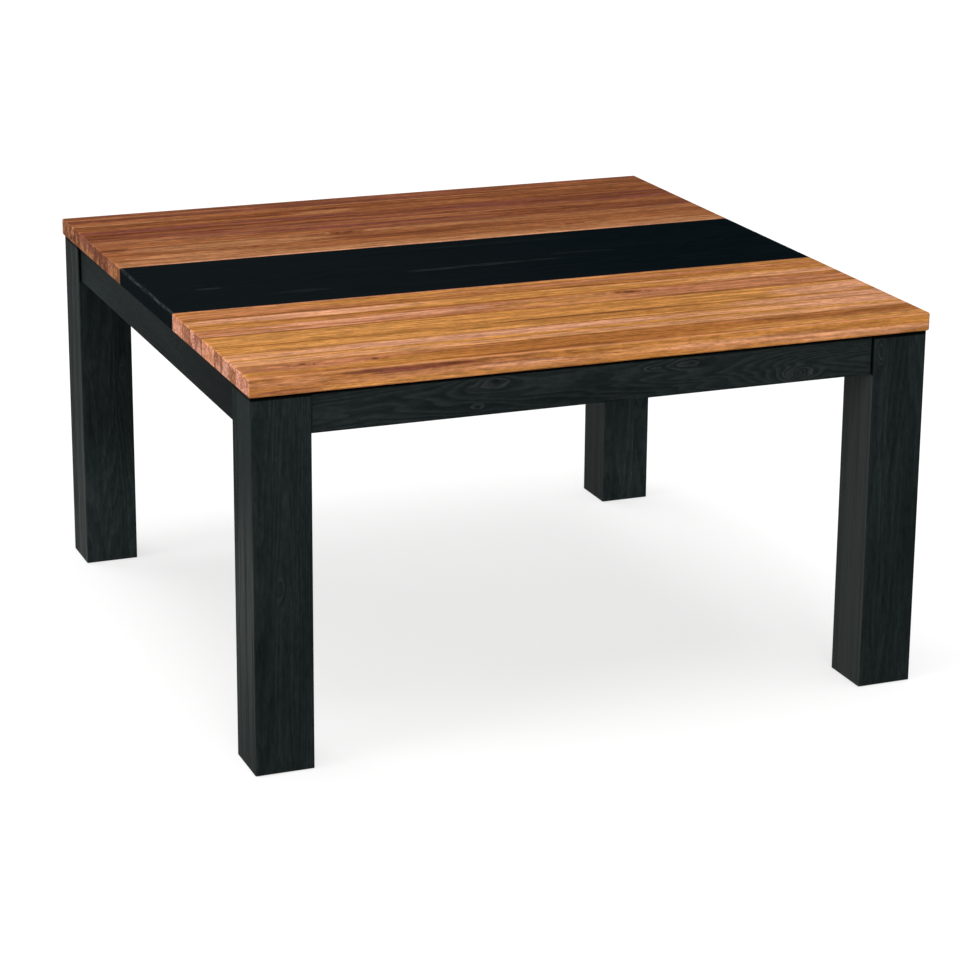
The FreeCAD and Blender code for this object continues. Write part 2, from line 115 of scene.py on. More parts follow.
# Sheen of the woods, where that of a varnished one would be 0.5
HARDWOOD_GLOSS = 0.0006
PANEL_GLOSS = 0.0003
LEG_GLOSS = 0.007
APRON_GLOSS = 0.0055

# Growth rings: rise and fall over a ring's width, ripple and drift, and how the pores show in them
RING_RISE = (0.2, 0.9)
RING_FALL = (1.0, 0.92)
RIPPLE = (-0.08, 0.08)
RING_DRIFT = 3.0
PORES_SHOWN = (1.0, 0.3)

# Scales per metre of the noise that bends and ripples the rings, and of the fibres
BEND_SCALES = (0.9, 7.0, 7.0)
RIPPLE_SCALES = (5.0, 40.0, 40.0)
FIBRE_SCALES = (16.0, 800.0, 800.0)

# Knots: scales of their noise, how uneven it makes them, their pull on the grain, and their fades in radii
KNOT_SCALES = (90.0, 160.0, 1.0)
KNOT_UNEVEN = (0.4, 1.6)
KNOT_PULL = -0.75
LUMP_SCALES = (24.0, 50.0, 1.0)
LUMP_UNEVEN = (0.5, 2.9)
LUMP_STRETCH = 1.6
CORE_FADE = (1.1, 0.7)
HALO_FADE = (1.2, 0.3)

# Soft marks: scales of their noise, how far it sways them and frays their rims, and where they fade
MARK_SCALES = (9.0, 130.0, 1.0)
MARK_FRAYED = (0.7, -0.7)
SWAY_SCALES = (4.0, 6.0, 1.0)
MARK_SWAY = 1.6
MARK_FADE = (1.14, 0.78)

# Distance along the log between boards of neighbouring seeds, in metres
SEED_SHIFT = 7.3

# How squarely a surface faces a side before it takes that side's look, from none to all of it
EDGE_FACES = (0.6, 0.9)
END_FACES = (0.55, 0.9)
LEG_FACES = (0.5, 0.95)

# Heights in metres over which the back legs' painted shade and the painted sheen on the legs' broad faces
# fade
BACK_LEG_FADE = (0.33, 0.13)
FRONT_LEG_FADES = ((0.58, 0.34), (-0.15, 0.35))

# Shares that parts of the figure darken and lighten a wood by, and strengths of its dark flecks and pores
HARDWOOD_SHADES = {"Line": (0.75, 1.25), "Mottle": (0.76, 1.20), "Fibre": (0.85, 1.15)}
HARDWOOD_SPECKS = {"Fleck": 0.30, "Pore": 0.45}
BLACK_SHADES = {"Mottle": (0.76, 1.16), "Cloud": (0.78, 1.12)}

# Hardwood: strengths of its rings, on faces and sawn ends, and of its knots, and how sawn ends vary in shade
RINGS_SHOWN = (0.15, 0.47)
HALO_SHOWN = 0.35
CORE_SHOWN = 0.85
END_SHADE = 0.76
END_VARIETY = 0.30
END_TURN = 2.1

# Black wood: strengths of its raised streaks and lines, share of the stain in knots, and share over the panel
# of its own darker stain, which carries painted light from its paler left end to its darker right
STREAK_SHOWN = 0.15
LINE_SHOWN = 0.30
BLACK_CORE = 0.8
PANEL_STAIN = 0.88

# Legs: shares of the stain, with painted shade and light up the back legs, and of the painted sheen's grey on
# broad faces, up the legs or over the streaks
FRONT_LEG_STAIN = 1.03
BACK_LEG_SHADE_RAMP = (0.87, 1.60)
BACK_LEG_SHEEN_SHARES = (0.5, 1.0)
BACK_LEG_GREY = 0.65
OUTER_GREY = (0.45, 1.0)
INNER_GREY = (0.95, 1.15)

# Shares left by painted shade in the corner under the top and on a leg's inward faces, and by painted light
# along the side aprons to the back
CORNER_SHADE = 0.05
INWARD_SHADE = 0.2
SIDE_APRON_SHADES = (0.6, 1.35)

# Piths: depth below the top in the panel, and distance off a leg's middle, which changes with the seed
PANEL_PITH = 0.07
LEG_PITH = (0.02, 0.09)
LEG_PITH_TURN = (2.4, 1.7)

# Pith of an apron, as a share of the way from the table's middle to the apron's
APRON_PITH = 0.94

# Variation of the roughness, and height of rings or fibres as a share of the relief
HARDWOOD_UNEVEN = 0.08
BLACK_UNEVEN = 0.10
HARDWOOD_RINGS = 0.35
BLACK_FIBRES = 0.25
SOFTWOOD_FIBRES = 0.5

# Distances in metres over which a glue line, its end at a rounded edge and a rubbed arris fade; on the
# hardwood that arris is partly a painted highlight
GLUE_LINE = (0.0034, 0.0010)
GLUE_END = (0.004, 0.006)
HARDWOOD_ARRIS = 0.0035
PANEL_ARRIS = 0.007

# Distances in metres, below the top and above the aprons' lower edge, over which the painted shade there, and
# the inner laminations' painted sheen, fade
TOP_SHADE = (0.005, 0.009)
APRON_SHADE = (0.002, -0.004)

# Sockets of the colour mix node, which has several of the same name
MIX_FACTOR = 0
MIX_FIRST = 6
MIX_SECOND = 7
MIX_RESULT = 2

WHITE = (1.0, 1.0, 1.0, 1.0)


class Mark(NamedTuple):
    """A long soft streak or patch of another tone, in metres along and across a face."""
    tone: str
    along: float
    across: float
    half_length: float
    half_width: float
    strength: float


class Knot(NamedTuple):
    """A small knot that the grain flows round, in metres along and across a board."""
    along: float
    across: float
    radius: float
    stretch: float = 1.6


class Stave(NamedTuple):
    """How one hardwood stave was sawn, and its tones. The pith is measured from the stave's middle."""
    base: str
    grain: str
    tint: str
    pith_across: float
    pith_through: float
    marks: tuple = ()
    knots: tuple = ()
    edge_marks: tuple = ()


# Staves of the front panel, from the black panel to the front edge
FRONT_STAVES = (
    Stave("amber", "chestnut", "rose", 0.05, -0.09, (
        Mark("umber", -0.42, -0.248, 0.30, 0.005, 0.6),
        Mark("umber", 0.13, -0.248, 0.09, 0.006, 0.7),
        Mark("rose", -0.52, -0.215, 0.16, 0.016, 0.5),
        Mark("rose", 0.20, -0.215, 0.40, 0.010, 0.5),
        Mark("blush", 0.00, -0.188, 0.70, 0.004, 0.5),
        Mark("chestnut", 0.50, -0.235, 0.20, 0.012, 0.5),
    )),
    Stave("honey", "amber", "blush", -0.12, -0.05, (
        Mark("blush", -0.43, -0.272, 0.24, 0.018, 0.9),
        Mark("chestnut", -0.50, -0.294, 0.22, 0.004, 0.7),
        Mark("amber", 0.05, -0.275, 0.22, 0.014, 0.7),
        Mark("blush", 0.56, -0.285, 0.22, 0.012, 0.7),
    )),
    Stave("rose", "chestnut", "honey", 0.01, -0.045, (
        Mark("blush", -0.30, -0.335, 0.26, 0.012, 0.8),
        Mark("blush", -0.52, -0.362, 0.20, 0.008, 0.5),
        Mark("honey", 0.06, -0.340, 0.14, 0.030, 0.6),
        Mark("rose", 0.42, -0.340, 0.30, 0.026, 0.7),
        Mark("umber", 0.40, -0.366, 0.20, 0.004, 0.4),
    ), (Knot(0.196, -0.319, 0.008),)),
    Stave("amber", "honey", "amber", 0.11, -0.07, (
        Mark("umber", 0.08, -0.447, 0.22, 0.005, 0.8),
        Mark("blush", 0.58, -0.410, 0.14, 0.030, 0.8),
        Mark("chestnut", 0.05, -0.410, 0.30, 0.012, 0.3),
        Mark("honey", -0.50, -0.405, 0.20, 0.030, 0.5),
    )),
    Stave("honey", "amber", "amber", -0.10, -0.10, (
        Mark("chestnut", 0.02, -0.470, 0.30, 0.005, 0.6),
        Mark("blush", 0.54, -0.472, 0.22, 0.020, 0.8),
    )),
    Stave("honey", "amber", "blush", 0.04, -0.08, (
        Mark("blush", -0.15, -0.514, 0.40, 0.016, 0.95),
        Mark("blush", 0.58, -0.520, 0.16, 0.026, 0.75),
        Mark("honey", -0.10, -0.570, 0.60, 0.004, 0.9),
    )),
    Stave("amber", "chestnut", "rose", 0.00, -0.05, (
        Mark("chestnut", 0.02, -0.608, 0.34, 0.060, 0.95),
        Mark("umber", -0.10, -0.640, 0.14, 0.006, 0.5),
        Mark("chestnut", 0.46, -0.596, 0.30, 0.018, 0.8),
        Mark("umber", 0.46, -0.592, 0.18, 0.006, 0.5),
        Mark("rose", -0.54, -0.600, 0.14, 0.020, 0.6),
        Mark("honey", 0.50, -0.630, 0.30, 0.012, 0.8),
    ), (Knot(-0.536, -0.590, 0.007, 1.0), Knot(-0.409, -0.597, 0.005, 1.0)), (
        Mark("amber", 0.00, 0.703, 1.40, 0.060, 1.0),
        Mark("chestnut", 0.10, 0.703, 1.20, 0.060, 0.30),
        Mark("russet", -0.45, 0.703, 0.40, 0.040, 0.60),
        Mark("blush", 0.05, 0.702, 0.60, 0.008, 0.20),
        Mark("blush", 0.40, 0.698, 0.30, 0.008, 0.55),
        Mark("blush", -0.16, 0.704, 0.08, 0.007, 0.50),
        Mark("blush", -0.60, 0.709, 0.10, 0.006, 0.25),
        Mark("honey", -0.34, 0.692, 0.26, 0.005, 0.60),
        Mark("plum", -0.57, 0.6925, 0.07, 0.0030, 0.60),
        Mark("plum", -0.42, 0.7140, 0.07, 0.0032, 0.80),
        Mark("plum", -0.385, 0.7090, 0.05, 0.0020, 0.80),
        Mark("plum", -0.31, 0.7120, 0.08, 0.0048, 0.90),
        Mark("umber", -0.30, 0.7130, 0.05, 0.0030, 0.80),
        Mark("russet", -0.20, 0.7090, 0.09, 0.0030, 0.70),
        Mark("chestnut", -0.06, 0.7100, 0.12, 0.0040, 0.50),
        Mark("chestnut", 0.25, 0.6960, 0.20, 0.0030, 0.50),
        Mark("chestnut", 0.46, 0.7060, 0.16, 0.0026, 0.50),
    )),
)

# Staves of the back panel, from the black panel to the back edge
BACK_STAVES = (
    Stave("tan", "russet", "tan", 0.06, -0.09, (
        Mark("blush", 0.00, 0.189, 0.70, 0.005, 0.8),
        Mark("russet", 0.15, 0.226, 0.40, 0.006, 0.6),
    )),
    Stave("russet", "russet", "tan", -0.03, -0.05, (
        Mark("umber", -0.04, 0.274, 0.17, 0.007, 0.8),
        Mark("tan", -0.45, 0.250, 0.20, 0.016, 0.7),
        Mark("tan", 0.45, 0.242, 0.18, 0.010, 0.5),
    ), (Knot(-0.351, 0.272, 0.006), Knot(0.320, 0.252, 0.007))),
    Stave("russet", "umber", "tan", 0.02, -0.05, (
        Mark("tan", -0.40, 0.310, 0.24, 0.026, 0.7),
        Mark("umber", -0.625, 0.323, 0.03, 0.010, 0.9),
        Mark("umber", 0.05, 0.290, 0.14, 0.006, 0.6),
        Mark("russet", 0.42, 0.320, 0.24, 0.020, 0.7),
    ), (Knot(-0.136, 0.335, 0.008), Knot(-0.155, 0.322, 0.005))),
    Stave("russet", "plum", "russet", -0.11, -0.08, (
        Mark("tan", -0.50, 0.390, 0.20, 0.016, 0.3),
        Mark("umber", 0.24, 0.410, 0.05, 0.005, 0.8),
        Mark("umber", 0.42, 0.385, 0.26, 0.034, 0.7),
        Mark("tan", 0.10, 0.424, 0.55, 0.003, 0.6),
    )),
    Stave("plum", "umber", "russet", 0.09, -0.06, (
        Mark("plum", -0.49, 0.486, 0.12, 0.018, 0.9),
        Mark("plum", -0.18, 0.490, 0.14, 0.016, 0.9),
        Mark("plum", 0.42, 0.476, 0.28, 0.030, 0.9),
        Mark("umber", 0.45, 0.478, 0.22, 0.020, 0.8),
        Mark("russet", -0.10, 0.450, 0.50, 0.010, 0.6),
    )),
    Stave("russet", "umber", "russet", -0.05, -0.10, (
        Mark("umber", 0.02, 0.575, 0.14, 0.005, 0.8),
        Mark("tan", -0.12, 0.528, 0.07, 0.014, 0.6),
        Mark("tan", -0.52, 0.560, 0.14, 0.010, 0.6),
        Mark("umber", 0.45, 0.540, 0.24, 0.020, 0.5),
    )),
    Stave("russet", "umber", "plum", 0.03, -0.06, (
        Mark("tan", 0.00, 0.585, 0.66, 0.004, 0.8),
        Mark("tan", -0.45, 0.615, 0.20, 0.008, 0.4),
        Mark("umber", 0.10, 0.642, 0.50, 0.006, 0.6),
    )),
)

# Faint pale streaks on the black panel: painted highlights where the brushed grain catches the light, and
# scuffs
PANEL_SCUFFS_AND_GLINTS = (
    Mark("worn", 0.04, -0.024, 0.15, 0.008, 0.26),
    Mark("worn", -0.08, -0.030, 0.06, 0.008, 0.26),
    Mark("worn", 0.25, 0.010, 0.08, 0.007, 0.16),
    Mark("worn", -0.535, -0.030, 0.025, 0.006, 0.34),
    Mark("worn", -0.37, -0.104, 0.055, 0.010, 0.20),
    Mark("worn", 0.06, 0.140, 0.20, 0.008, 0.10),
)


class Apron(NamedTuple):
    """How an apron was sawn. The pith is measured up from its lower edge."""
    along: int
    pith: float
    figuring: float
    knots: tuple


# Aprons, with the knots along their length and up
APRONS = {
    "front": Apron(0, 0.02, 0.9, (
        Knot(-0.234, 0.627, 0.003), Knot(-0.206, 0.668, 0.007, 2.6), Knot(0.094, 0.664, 0.003),
        Knot(0.106, 0.663, 0.0025), Knot(0.171, 0.667, 0.007, 2.4), Knot(0.390, 0.628, 0.008, 1.8),
    )),
    "back": Apron(0, 0.03, 0.9, (Knot(0.31, 0.640, 0.010), Knot(-0.12, 0.660, 0.005))),
    "left": Apron(1, -0.10, 0.08, (Knot(-0.18, 0.662, 0.006),)),
    "right": Apron(1, -0.12, 0.08, (Knot(0.05, 0.646, 0.009), Knot(-0.40, 0.668, 0.005))),
}

# Knots of the legs, up and across
LEG_KNOTS = {
    "leg_front_left_core": (Knot(0.340, -0.596, 0.004),),
    "leg_front_right_inner": (Knot(0.657, 0.553, 0.005), Knot(0.646, 0.556, 0.003)),
    "leg_back_left_inner": (Knot(0.410, -0.560, 0.005),),
    "leg_back_right_outer": (Knot(0.250, 0.625, 0.006),),
}

# Softwoods of the hidden pieces, with the angle of their grain from X in degrees
SOFTWOODS = {
    "batten_softwood": (90.0, ("left_batten", "right_batten")),
    "strip_softwood": (0.0, ("front_tongue", "back_tongue", "top_buttons")),
    "rising_block_softwood": (45.0, ("corner_block_front_right", "corner_block_back_left")),
    "falling_block_softwood": (-45.0, ("corner_block_front_left", "corner_block_back_right")),
}


class Texture(NamedTuple):
    """Noise over a board, by its scales per metre along, across and through it, and its soft threshold."""
    scales: tuple
    detail: float
    roughness: float
    low: float
    high: float


# Textures of a sawn board
BOARD_TEXTURES = {
    "Streak": Texture((1.5, 60.0, 60.0), 3.0, 0.6, 0.43, 0.57),
    "Tint": Texture((0.8, 34.0, 34.0), 2.0, 0.5, 0.46, 0.58),
    "Line": Texture((7.0, 130.0, 220.0), 4.0, 0.75, 0.40, 0.60),
    "Mottle": Texture((45.0, 150.0, 220.0), 5.0, 0.7, 0.32, 0.68),
    "Cloud": Texture((2.5, 10.0, 10.0), 2.0, 0.5, 0.32, 0.68),
    "Fleck": Texture((22.0, 150.0, 150.0), 2.0, 0.6, 0.58, 0.68),
}
VESSELS = Texture((70.0, 1300.0, 1300.0), 1.0, 0.5, 0.6, 0.7)

# Textures of unrubbed arrises, unbroken glue lines, the panel's scratches and the glides' scuffs
UNRUBBED = Texture((30.0, 200.0, 200.0), 3.0, 0.65, 0.62, 0.40)
UNBROKEN = Texture((3.0, 31.0, 17.0), 2.0, 0.5, 0.30, 0.55)
SCRATCHES = Texture((14.0, 300.0, 300.0), 4.0, 0.7, 0.44, 0.60)
SCUFFS = Texture((120.0, 300.0, 60.0), 3.0, 0.6, 0.5, 0.7)


class Lamp(NamedTuple):
    """A lamp's name, its angles in degrees, and the studio's property with its strength."""
    name: str
    azimuth: float
    elevation: float
    spread: float
    strength: str


LAMPS = (
    Lamp("front_key", -8.0, 42.0, 60.0, "key"),
    Lamp("front_fill", -8.0, 5.0, 20.0, "front"),
    Lamp("overhead", 0.0, 85.0, 50.0, "overhead"),
    Lamp("side_fill", -80.0, 6.0, 30.0, "side"),
    Lamp("back_fill", 215.0, 45.0, 40.0, "fill"),
)


def colour_property(name, description, default):
    """Colour that a user can change, in linear values."""
    return FloatVectorProperty(
        name=name, description=description, default=default, size=3, subtype="COLOR", min=0.0, max=1.0
    )


def length_property(name, description, default):
    """Length that a user can change, in metres."""
    return FloatProperty(
        name=name, description=description, default=default, unit="LENGTH", precision=5, min=0.0
    )


def share_property(name, description, default):
    """Share from 0 to 1 that a user can change."""
    return FloatProperty(
        name=name, description=description, default=default, subtype="FACTOR", min=0.0, max=1.0
    )


def strength_property(name, description, default):
    """Strength of a light that a user can change, where 1 lights a surface to its own colour."""
    return FloatProperty(name=name, description=description, default=default, min=0.0)


class HardwoodTones(bpy.types.PropertyGroup):
    """Tones and surface of the oiled hardwood."""
    honey: colour_property("Honey", "Light golden wood of the front panel", (0.54, 0.242, 0.070))
    amber: colour_property("Amber", "Golden brown wood of the front panel", (0.473, 0.203, 0.051))
    blush: colour_property("Blush", "Pale pink wood", (0.605, 0.288, 0.165))
    rose: colour_property("Rose", "Pinkish brown wood", (0.435, 0.173, 0.085))
    chestnut: colour_property("Chestnut", "Brown wood of the front panel", (0.34, 0.125, 0.032))
    umber: colour_property("Umber", "Dark streaks and knots", (0.15, 0.046, 0.018))
    russet: colour_property("Russet", "Brown wood of the back panel", (0.275, 0.100, 0.037))
    plum: colour_property("Plum", "Purplish brown wood of the back panel", (0.165, 0.050, 0.034))
    tan: colour_property("Tan", "Lighter wood of the back panel", (0.382, 0.170, 0.074))
    end_grain: colour_property("End Grain", "Sawn ends of the front panel", (0.58, 0.240, 0.188))
    pale_end: colour_property("Pale End", "Pale patches of those sawn ends", (0.67, 0.335, 0.245))
    dark_end_grain: colour_property("Dark End Grain", "Sawn ends of the back panel", (0.225, 0.095, 0.075))
    ring_width: length_property("Ring Width", "Width of a growth ring", 0.0055)
    pore_depth: length_property("Pore Depth", "Depth of the open pores", 0.0003)
    roughness: share_property("Roughness", "How matt the oiled surface is", 0.52)
    # Painted light: the hardwood is painted paler at its left end and darker at its right
    fade: share_property("Fade", "How much paler the left end is, and darker the right", 0.065)


class BlackFinish(bpy.types.PropertyGroup):
    """Colour and surface of the black brushed wood."""
    stain: colour_property("Stain", "Black stain in the brushed-out wood", (0.0072, 0.0106, 0.0105))
    raised: colour_property("Raised", "Stain on the raised rings", (0.0140, 0.0182, 0.0178))
    # Painted sheen on the legs' broad faces, which catch the light; it also tints the rings round the knots
    broad: colour_property("Broad", "Grey of the broad faces of the laminations", (0.0245, 0.0285, 0.0275))
    # Painted light: the panel runs from paler at its left end to darker at its right
    panel: colour_property("Panel", "Black panel at its left end", (0.0034, 0.0054, 0.0065))
    deep_panel: colour_property("Deep Panel", "Black panel at its right end", (0.0001, 0.0018, 0.0030))
    # Also the grey of the painted highlights on the black panel
    worn: colour_property("Worn", "Grey of scuffed arrises", (0.055, 0.062, 0.064))
    ring_width: length_property("Ring Width", "Width of a growth ring", 0.005)
    brush_depth: length_property("Brush Depth", "Depth of the brushed grain", 0.0004)
    roughness: share_property("Roughness", "How matt the stain is", 0.60)


class HiddenFinish(bpy.types.PropertyGroup):
    """Plain wood, steel and plastic under the top."""
    sapwood: colour_property("Sapwood", "Pale softwood", (0.60, 0.430, 0.250))
    summerwood: colour_property("Summerwood", "Darker rings of the softwood", (0.44, 0.260, 0.120))
    zinc: colour_property("Zinc", "Plated steel", (0.62, 0.63, 0.64))
    nylon: colour_property("Nylon", "Glides under the legs", (0.035, 0.033, 0.032))
    ring_width: length_property("Ring Width", "Width of the softwood's growth rings", 0.006)
    grain_depth: length_property("Grain Depth", "Depth of the softwood's planed grain", 0.0002)
    mould_depth: length_property("Mould Depth", "Depth of the nylon's moulded grain", 0.0001)


class HardwareSizes(bpy.types.PropertyGroup):
    """Sizes of the bolts, nuts, washers, screws, nails and glides."""
    bolt_radius: length_property("Bolt Radius", "Radius of a hanger bolt over its threads", 0.0040)
    bolt_root: length_property("Bolt Root", "Radius of a hanger bolt under its machine thread", 0.0034)
    bolt_pitch: length_property("Bolt Pitch", "Pitch of the machine thread", 0.00125)
    bolt_collar: length_property("Bolt Collar", "Plain length between the two threads", 0.0050)
    bolt_bite: length_property("Bolt Bite", "Length of a bolt's wood thread", 0.0430)
    bolt_point: length_property("Bolt Point", "Length of a bolt's point", 0.0070)
    coarse_root: length_property("Coarse Root", "Radius of a hanger bolt under its wood thread", 0.0028)
    coarse_pitch: length_property("Coarse Pitch", "Pitch of the wood thread", 0.0034)
    washer_radius: length_property("Washer Radius", "Outer radius of a washer", 0.0120)
    washer_hole: length_property("Washer Hole", "Radius of a washer's hole", 0.0045)
    nut_across: length_property("Nut Across", "Width of a nut across its flats", 0.0130)
    nut_bore: length_property("Nut Bore", "Radius of a nut's bore", 0.0041)
    screw_radius: length_property("Screw Radius", "Radius of a wood screw over its thread", 0.00225)
    screw_root: length_property("Screw Root", "Radius of a wood screw under its thread", 0.00155)
    screw_pitch: length_property("Screw Pitch", "Pitch of a wood screw's thread", 0.0020)
    screw_head: length_property("Screw Head", "Radius of a wood screw's head", 0.0045)
    screw_recess: length_property("Screw Recess", "Depth of a screw's cross recess", 0.0023)
    pan_height: length_property("Pan Height", "Height of a pan head", 0.0032)
    glide_radius: length_property("Glide Radius", "Radius of a glide", 0.0250)
    glide_edge: length_property("Glide Edge", "Rounding of a glide's lower edge", 0.0012)
    nail_recess: length_property("Nail Recess", "Depth of a glide's recess for its nail", 0.0030)
    nail_radius: length_property("Nail Radius", "Radius of a nail's shank", 0.0016)
    nail_head: length_property("Nail Head", "Radius of a nail's head", 0.0045)
    nail_play: length_property("Nail Play", "Room round a nail in its glide", 0.0001)
    tip_radius: length_property("Tip Radius", "Radius of a blunt point", 0.0004)


class Studio(bpy.types.PropertyGroup):
    """Floor, lamps and camera."""
    floor: colour_property("Floor", "Pale floor", (0.35, 0.35, 0.35))
    floor_size: length_property("Floor Size", "Width of the floor", 60.0)
    floor_glow: share_property("Floor Glow", "White that the floor shows to the camera", 0.70)
    surround: strength_property("Surround", "Strength of the light from all round", 0.10)
    key: strength_property("Key", "Strength of the high lamp in front", 0.12)
    front: strength_property("Front", "Strength of the low lamp in front", 0.74)
    overhead: strength_property("Overhead", "Strength of the lamp overhead", 0.67)
    side: strength_property("Side", "Strength of the low lamp at the left", 0.90)
    fill: strength_property("Fill", "Strength of the lamp at the back", 0.22)
    lamp_height: length_property("Lamp Height", "Height at which the lamps are drawn", 3.0)
    lens: FloatProperty(name="Lens", description="Focal length in millimetres", default=108.17, min=1.0)
    camera_place: FloatVectorProperty(
        name="Camera Place", description="Where the camera stands", default=(-2.0027, -5.0856, 2.0329),
        size=3, subtype="TRANSLATION", unit="LENGTH"
    )
    camera_turn: FloatVectorProperty(
        name="Camera Turn", description="Yaw to the right, pitch down and roll",
        default=(math.radians(21.733), math.radians(15.916), math.radians(0.431)), size=3, subtype="EULER"
    )
    camera_drop: FloatProperty(
        name="Camera Drop", description="Share of the frame that the lens is lowered", default=-0.1
    )


def rgba(colour):
    """Colour with full alpha."""
    return (*colour, 1.0)


class Recipe:
    """Puts together the nodes of a material or of a node group."""

    def __init__(self, tree):
        self.tree = tree

    def node(self, kind, **settings):
        """New node with these settings."""
        made = self.tree.nodes.new(kind)
        for name, value in settings.items():
            setattr(made, name, value)
        return made

    def feed(self, socket, value):
        """Link a socket, or set it to a plain value."""
        if isinstance(value, bpy.types.NodeSocket):
            self.tree.links.new(value, socket)
        else:
            socket.default_value = value

    def math(self, operation, *values):
        """Result of a math node."""
        made = self.node("ShaderNodeMath", operation=operation)
        for socket, value in zip(made.inputs, values):
            self.feed(socket, value)
        return made.outputs[0]

    def total(self, *values):
        """Sum of several values."""
        result = values[0]
        for value in values[1:]:
            result = self.math("ADD", result, value)
        return result

    def minus(self, first, second):
        """Difference of two values."""
        return self.math("SUBTRACT", first, second)

    def times(self, first, second):
        """Product of two values."""
        return self.math("MULTIPLY", first, second)

    def distance(self, first, second):
        """Length of a slope over two sides at a right angle."""
        return self.math("SQRT", self.total(self.times(first, first), self.times(second, second)))

    def span(self, mask, low, high):
        """Value that runs from low to high with a mask."""
        return self.math("MULTIPLY_ADD", mask, high - low, low)

    def step(self, value, low, high):
        """Smooth step that is 0 at low and 1 at high."""
        made = self.node("ShaderNodeMapRange", interpolation_type="SMOOTHSTEP")
        for name, setting in (("Value", value), ("From Min", low), ("From Max", high)):
            self.feed(made.inputs[name], setting)
        return made.outputs[0]

    def mix(self, factor, first, second, blend_type="MIX"):
        """Blend of two colours."""
        made = self.node("ShaderNodeMix", data_type="RGBA", blend_type=blend_type)
        for index, value in ((MIX_FACTOR, factor), (MIX_FIRST, first), (MIX_SECOND, second)):
            self.feed(made.inputs[index], value)
        return made.outputs[MIX_RESULT]

    def tint(self, colour, mask, strength, tone):
        """Colour with a tone laid over it where a mask is, at this strength."""
        return self.mix(self.times(mask, strength), colour, rgba(tone))

    def darken(self, colour, share):
        """Colour multiplied by a share."""
        grey = self.node("ShaderNodeCombineColor")
        for socket in grey.inputs:
            self.feed(socket, share)
        return self.mix(1.0, colour, grey.outputs[0], "MULTIPLY")

    def shade(self, colour, mask, low, high):
        """Colour multiplied by a share that runs from low to high with a mask."""
        return self.darken(colour, self.span(mask, low, high))

    def noise(self, place, scales, detail=1.0, roughness=0.5, output="Fac"):
        """Noise over a place given as three values, each with its own scale per metre."""
        joined = self.node("ShaderNodeCombineXYZ")
        for socket, value, scale in zip(joined.inputs, place, scales):
            self.feed(socket, self.times(value, scale))
        made = self.node("ShaderNodeTexNoise")
        self.feed(made.inputs["Vector"], joined.outputs[0])
        self.feed(made.inputs["Scale"], 1.0)
        self.feed(made.inputs["Detail"], detail)
        self.feed(made.inputs["Roughness"], roughness)
        return made.outputs[output]

    def texture(self, place, texture):
        """Mask of a texture over a place given as three values."""
        noise = self.noise(place, texture.scales, texture.detail, texture.roughness)
        return self.step(noise, texture.low, texture.high)

    def split(self, vector):
        """Three parts of a vector."""
        made = self.node("ShaderNodeSeparateXYZ")
        self.feed(made.inputs[0], vector)
        return tuple(made.outputs)

    def place(self):
        """Object coordinates, in metres."""
        return self.split(self.node("ShaderNodeTexCoord").outputs["Object"])

    def normal(self):
        """Three parts of the direction that the surface faces."""
        return self.split(self.node("ShaderNodeNewGeometry").outputs["Normal"])

    def facing(self, axis):
        """How far the surface faces along an axis, either way."""
        return self.math("ABSOLUTE", self.normal()[axis])

    def group(self, tree, **values):
        """Node group with these inputs, whose names use spaces for underscores. Returns its outputs."""
        made = self.node("ShaderNodeGroup", node_tree=tree)
        for name, value in values.items():
            self.feed(made.inputs[name.replace("_", " ").title()], value)
        return made.outputs


def new_group(name, inputs, outputs):
    """Node group of number sockets. Returns it, its recipe, and the sockets that give and want values."""
    tree = bpy.data.node_groups.new(name, "ShaderNodeTree")
    for socket in inputs:
        tree.interface.new_socket(name=socket, in_out="INPUT", socket_type="NodeSocketFloat")
    for socket in outputs:
        tree.interface.new_socket(name=socket, in_out="OUTPUT", socket_type="NodeSocketFloat")
    recipe = Recipe(tree)
    given = recipe.node("NodeGroupInput").outputs
    wanted = recipe.node("NodeGroupOutput").inputs
    return tree, recipe, given, wanted


def built_once(build):
    """Let a node group be built when it is first asked for, named for the function that builds it."""
    name = build.__name__.replace("_", " ").title()

    @functools.wraps(build)
    def group():
        return bpy.data.node_groups.get(name) or build(name)

    return group


@built_once
def board_figure(name):
    """Growth rings, long streaks, fibres and pores of a board sawn from a log along its length."""
    inputs = (
        "Along", "Across", "Through", "Pith Across", "Pith Through", "Slope", "Wander", "Ring Width", "Seed"
    )
    tree, recipe, given, wanted = new_group(name, inputs, ("Late", "Fibre", "Pore", *BOARD_TEXTURES))
    moved = recipe.math("MULTIPLY_ADD", given["Seed"], SEED_SHIFT, given["Along"])
    place = (moved, given["Across"], given["Through"])
    slow = recipe.split(recipe.noise(place, BEND_SCALES, output="Color"))
    bend = [recipe.minus(part, 0.5) for part in slow]
    ripple = recipe.span(recipe.noise(place, RIPPLE_SCALES), *RIPPLE)
    sideways = recipe.times(recipe.total(bend[0], ripple), given["Wander"])
    upwards = recipe.times(recipe.total(bend[1], ripple), given["Wander"])
    tilt = recipe.times(given["Slope"], given["Along"])
    across = recipe.minus(recipe.total(given["Across"], sideways), given["Pith Across"])
    through = recipe.minus(recipe.total(given["Through"], upwards, tilt), given["Pith Through"])
    count = recipe.math("DIVIDE", recipe.distance(across, through), given["Ring Width"])
    turn = recipe.math("FRACT", recipe.math("MULTIPLY_ADD", bend[2], RING_DRIFT, count))
    late = recipe.times(recipe.step(turn, *RING_RISE), recipe.step(turn, *RING_FALL))
    pore = recipe.times(recipe.texture(place, VESSELS), recipe.span(late, *PORES_SHOWN))
    recipe.feed(wanted["Late"], late)
    recipe.feed(wanted["Fibre"], recipe.noise(place, FIBRE_SCALES))
    recipe.feed(wanted["Pore"], pore)
    for output, texture in BOARD_TEXTURES.items():
        recipe.feed(wanted[output], recipe.texture(place, texture))
    return tree


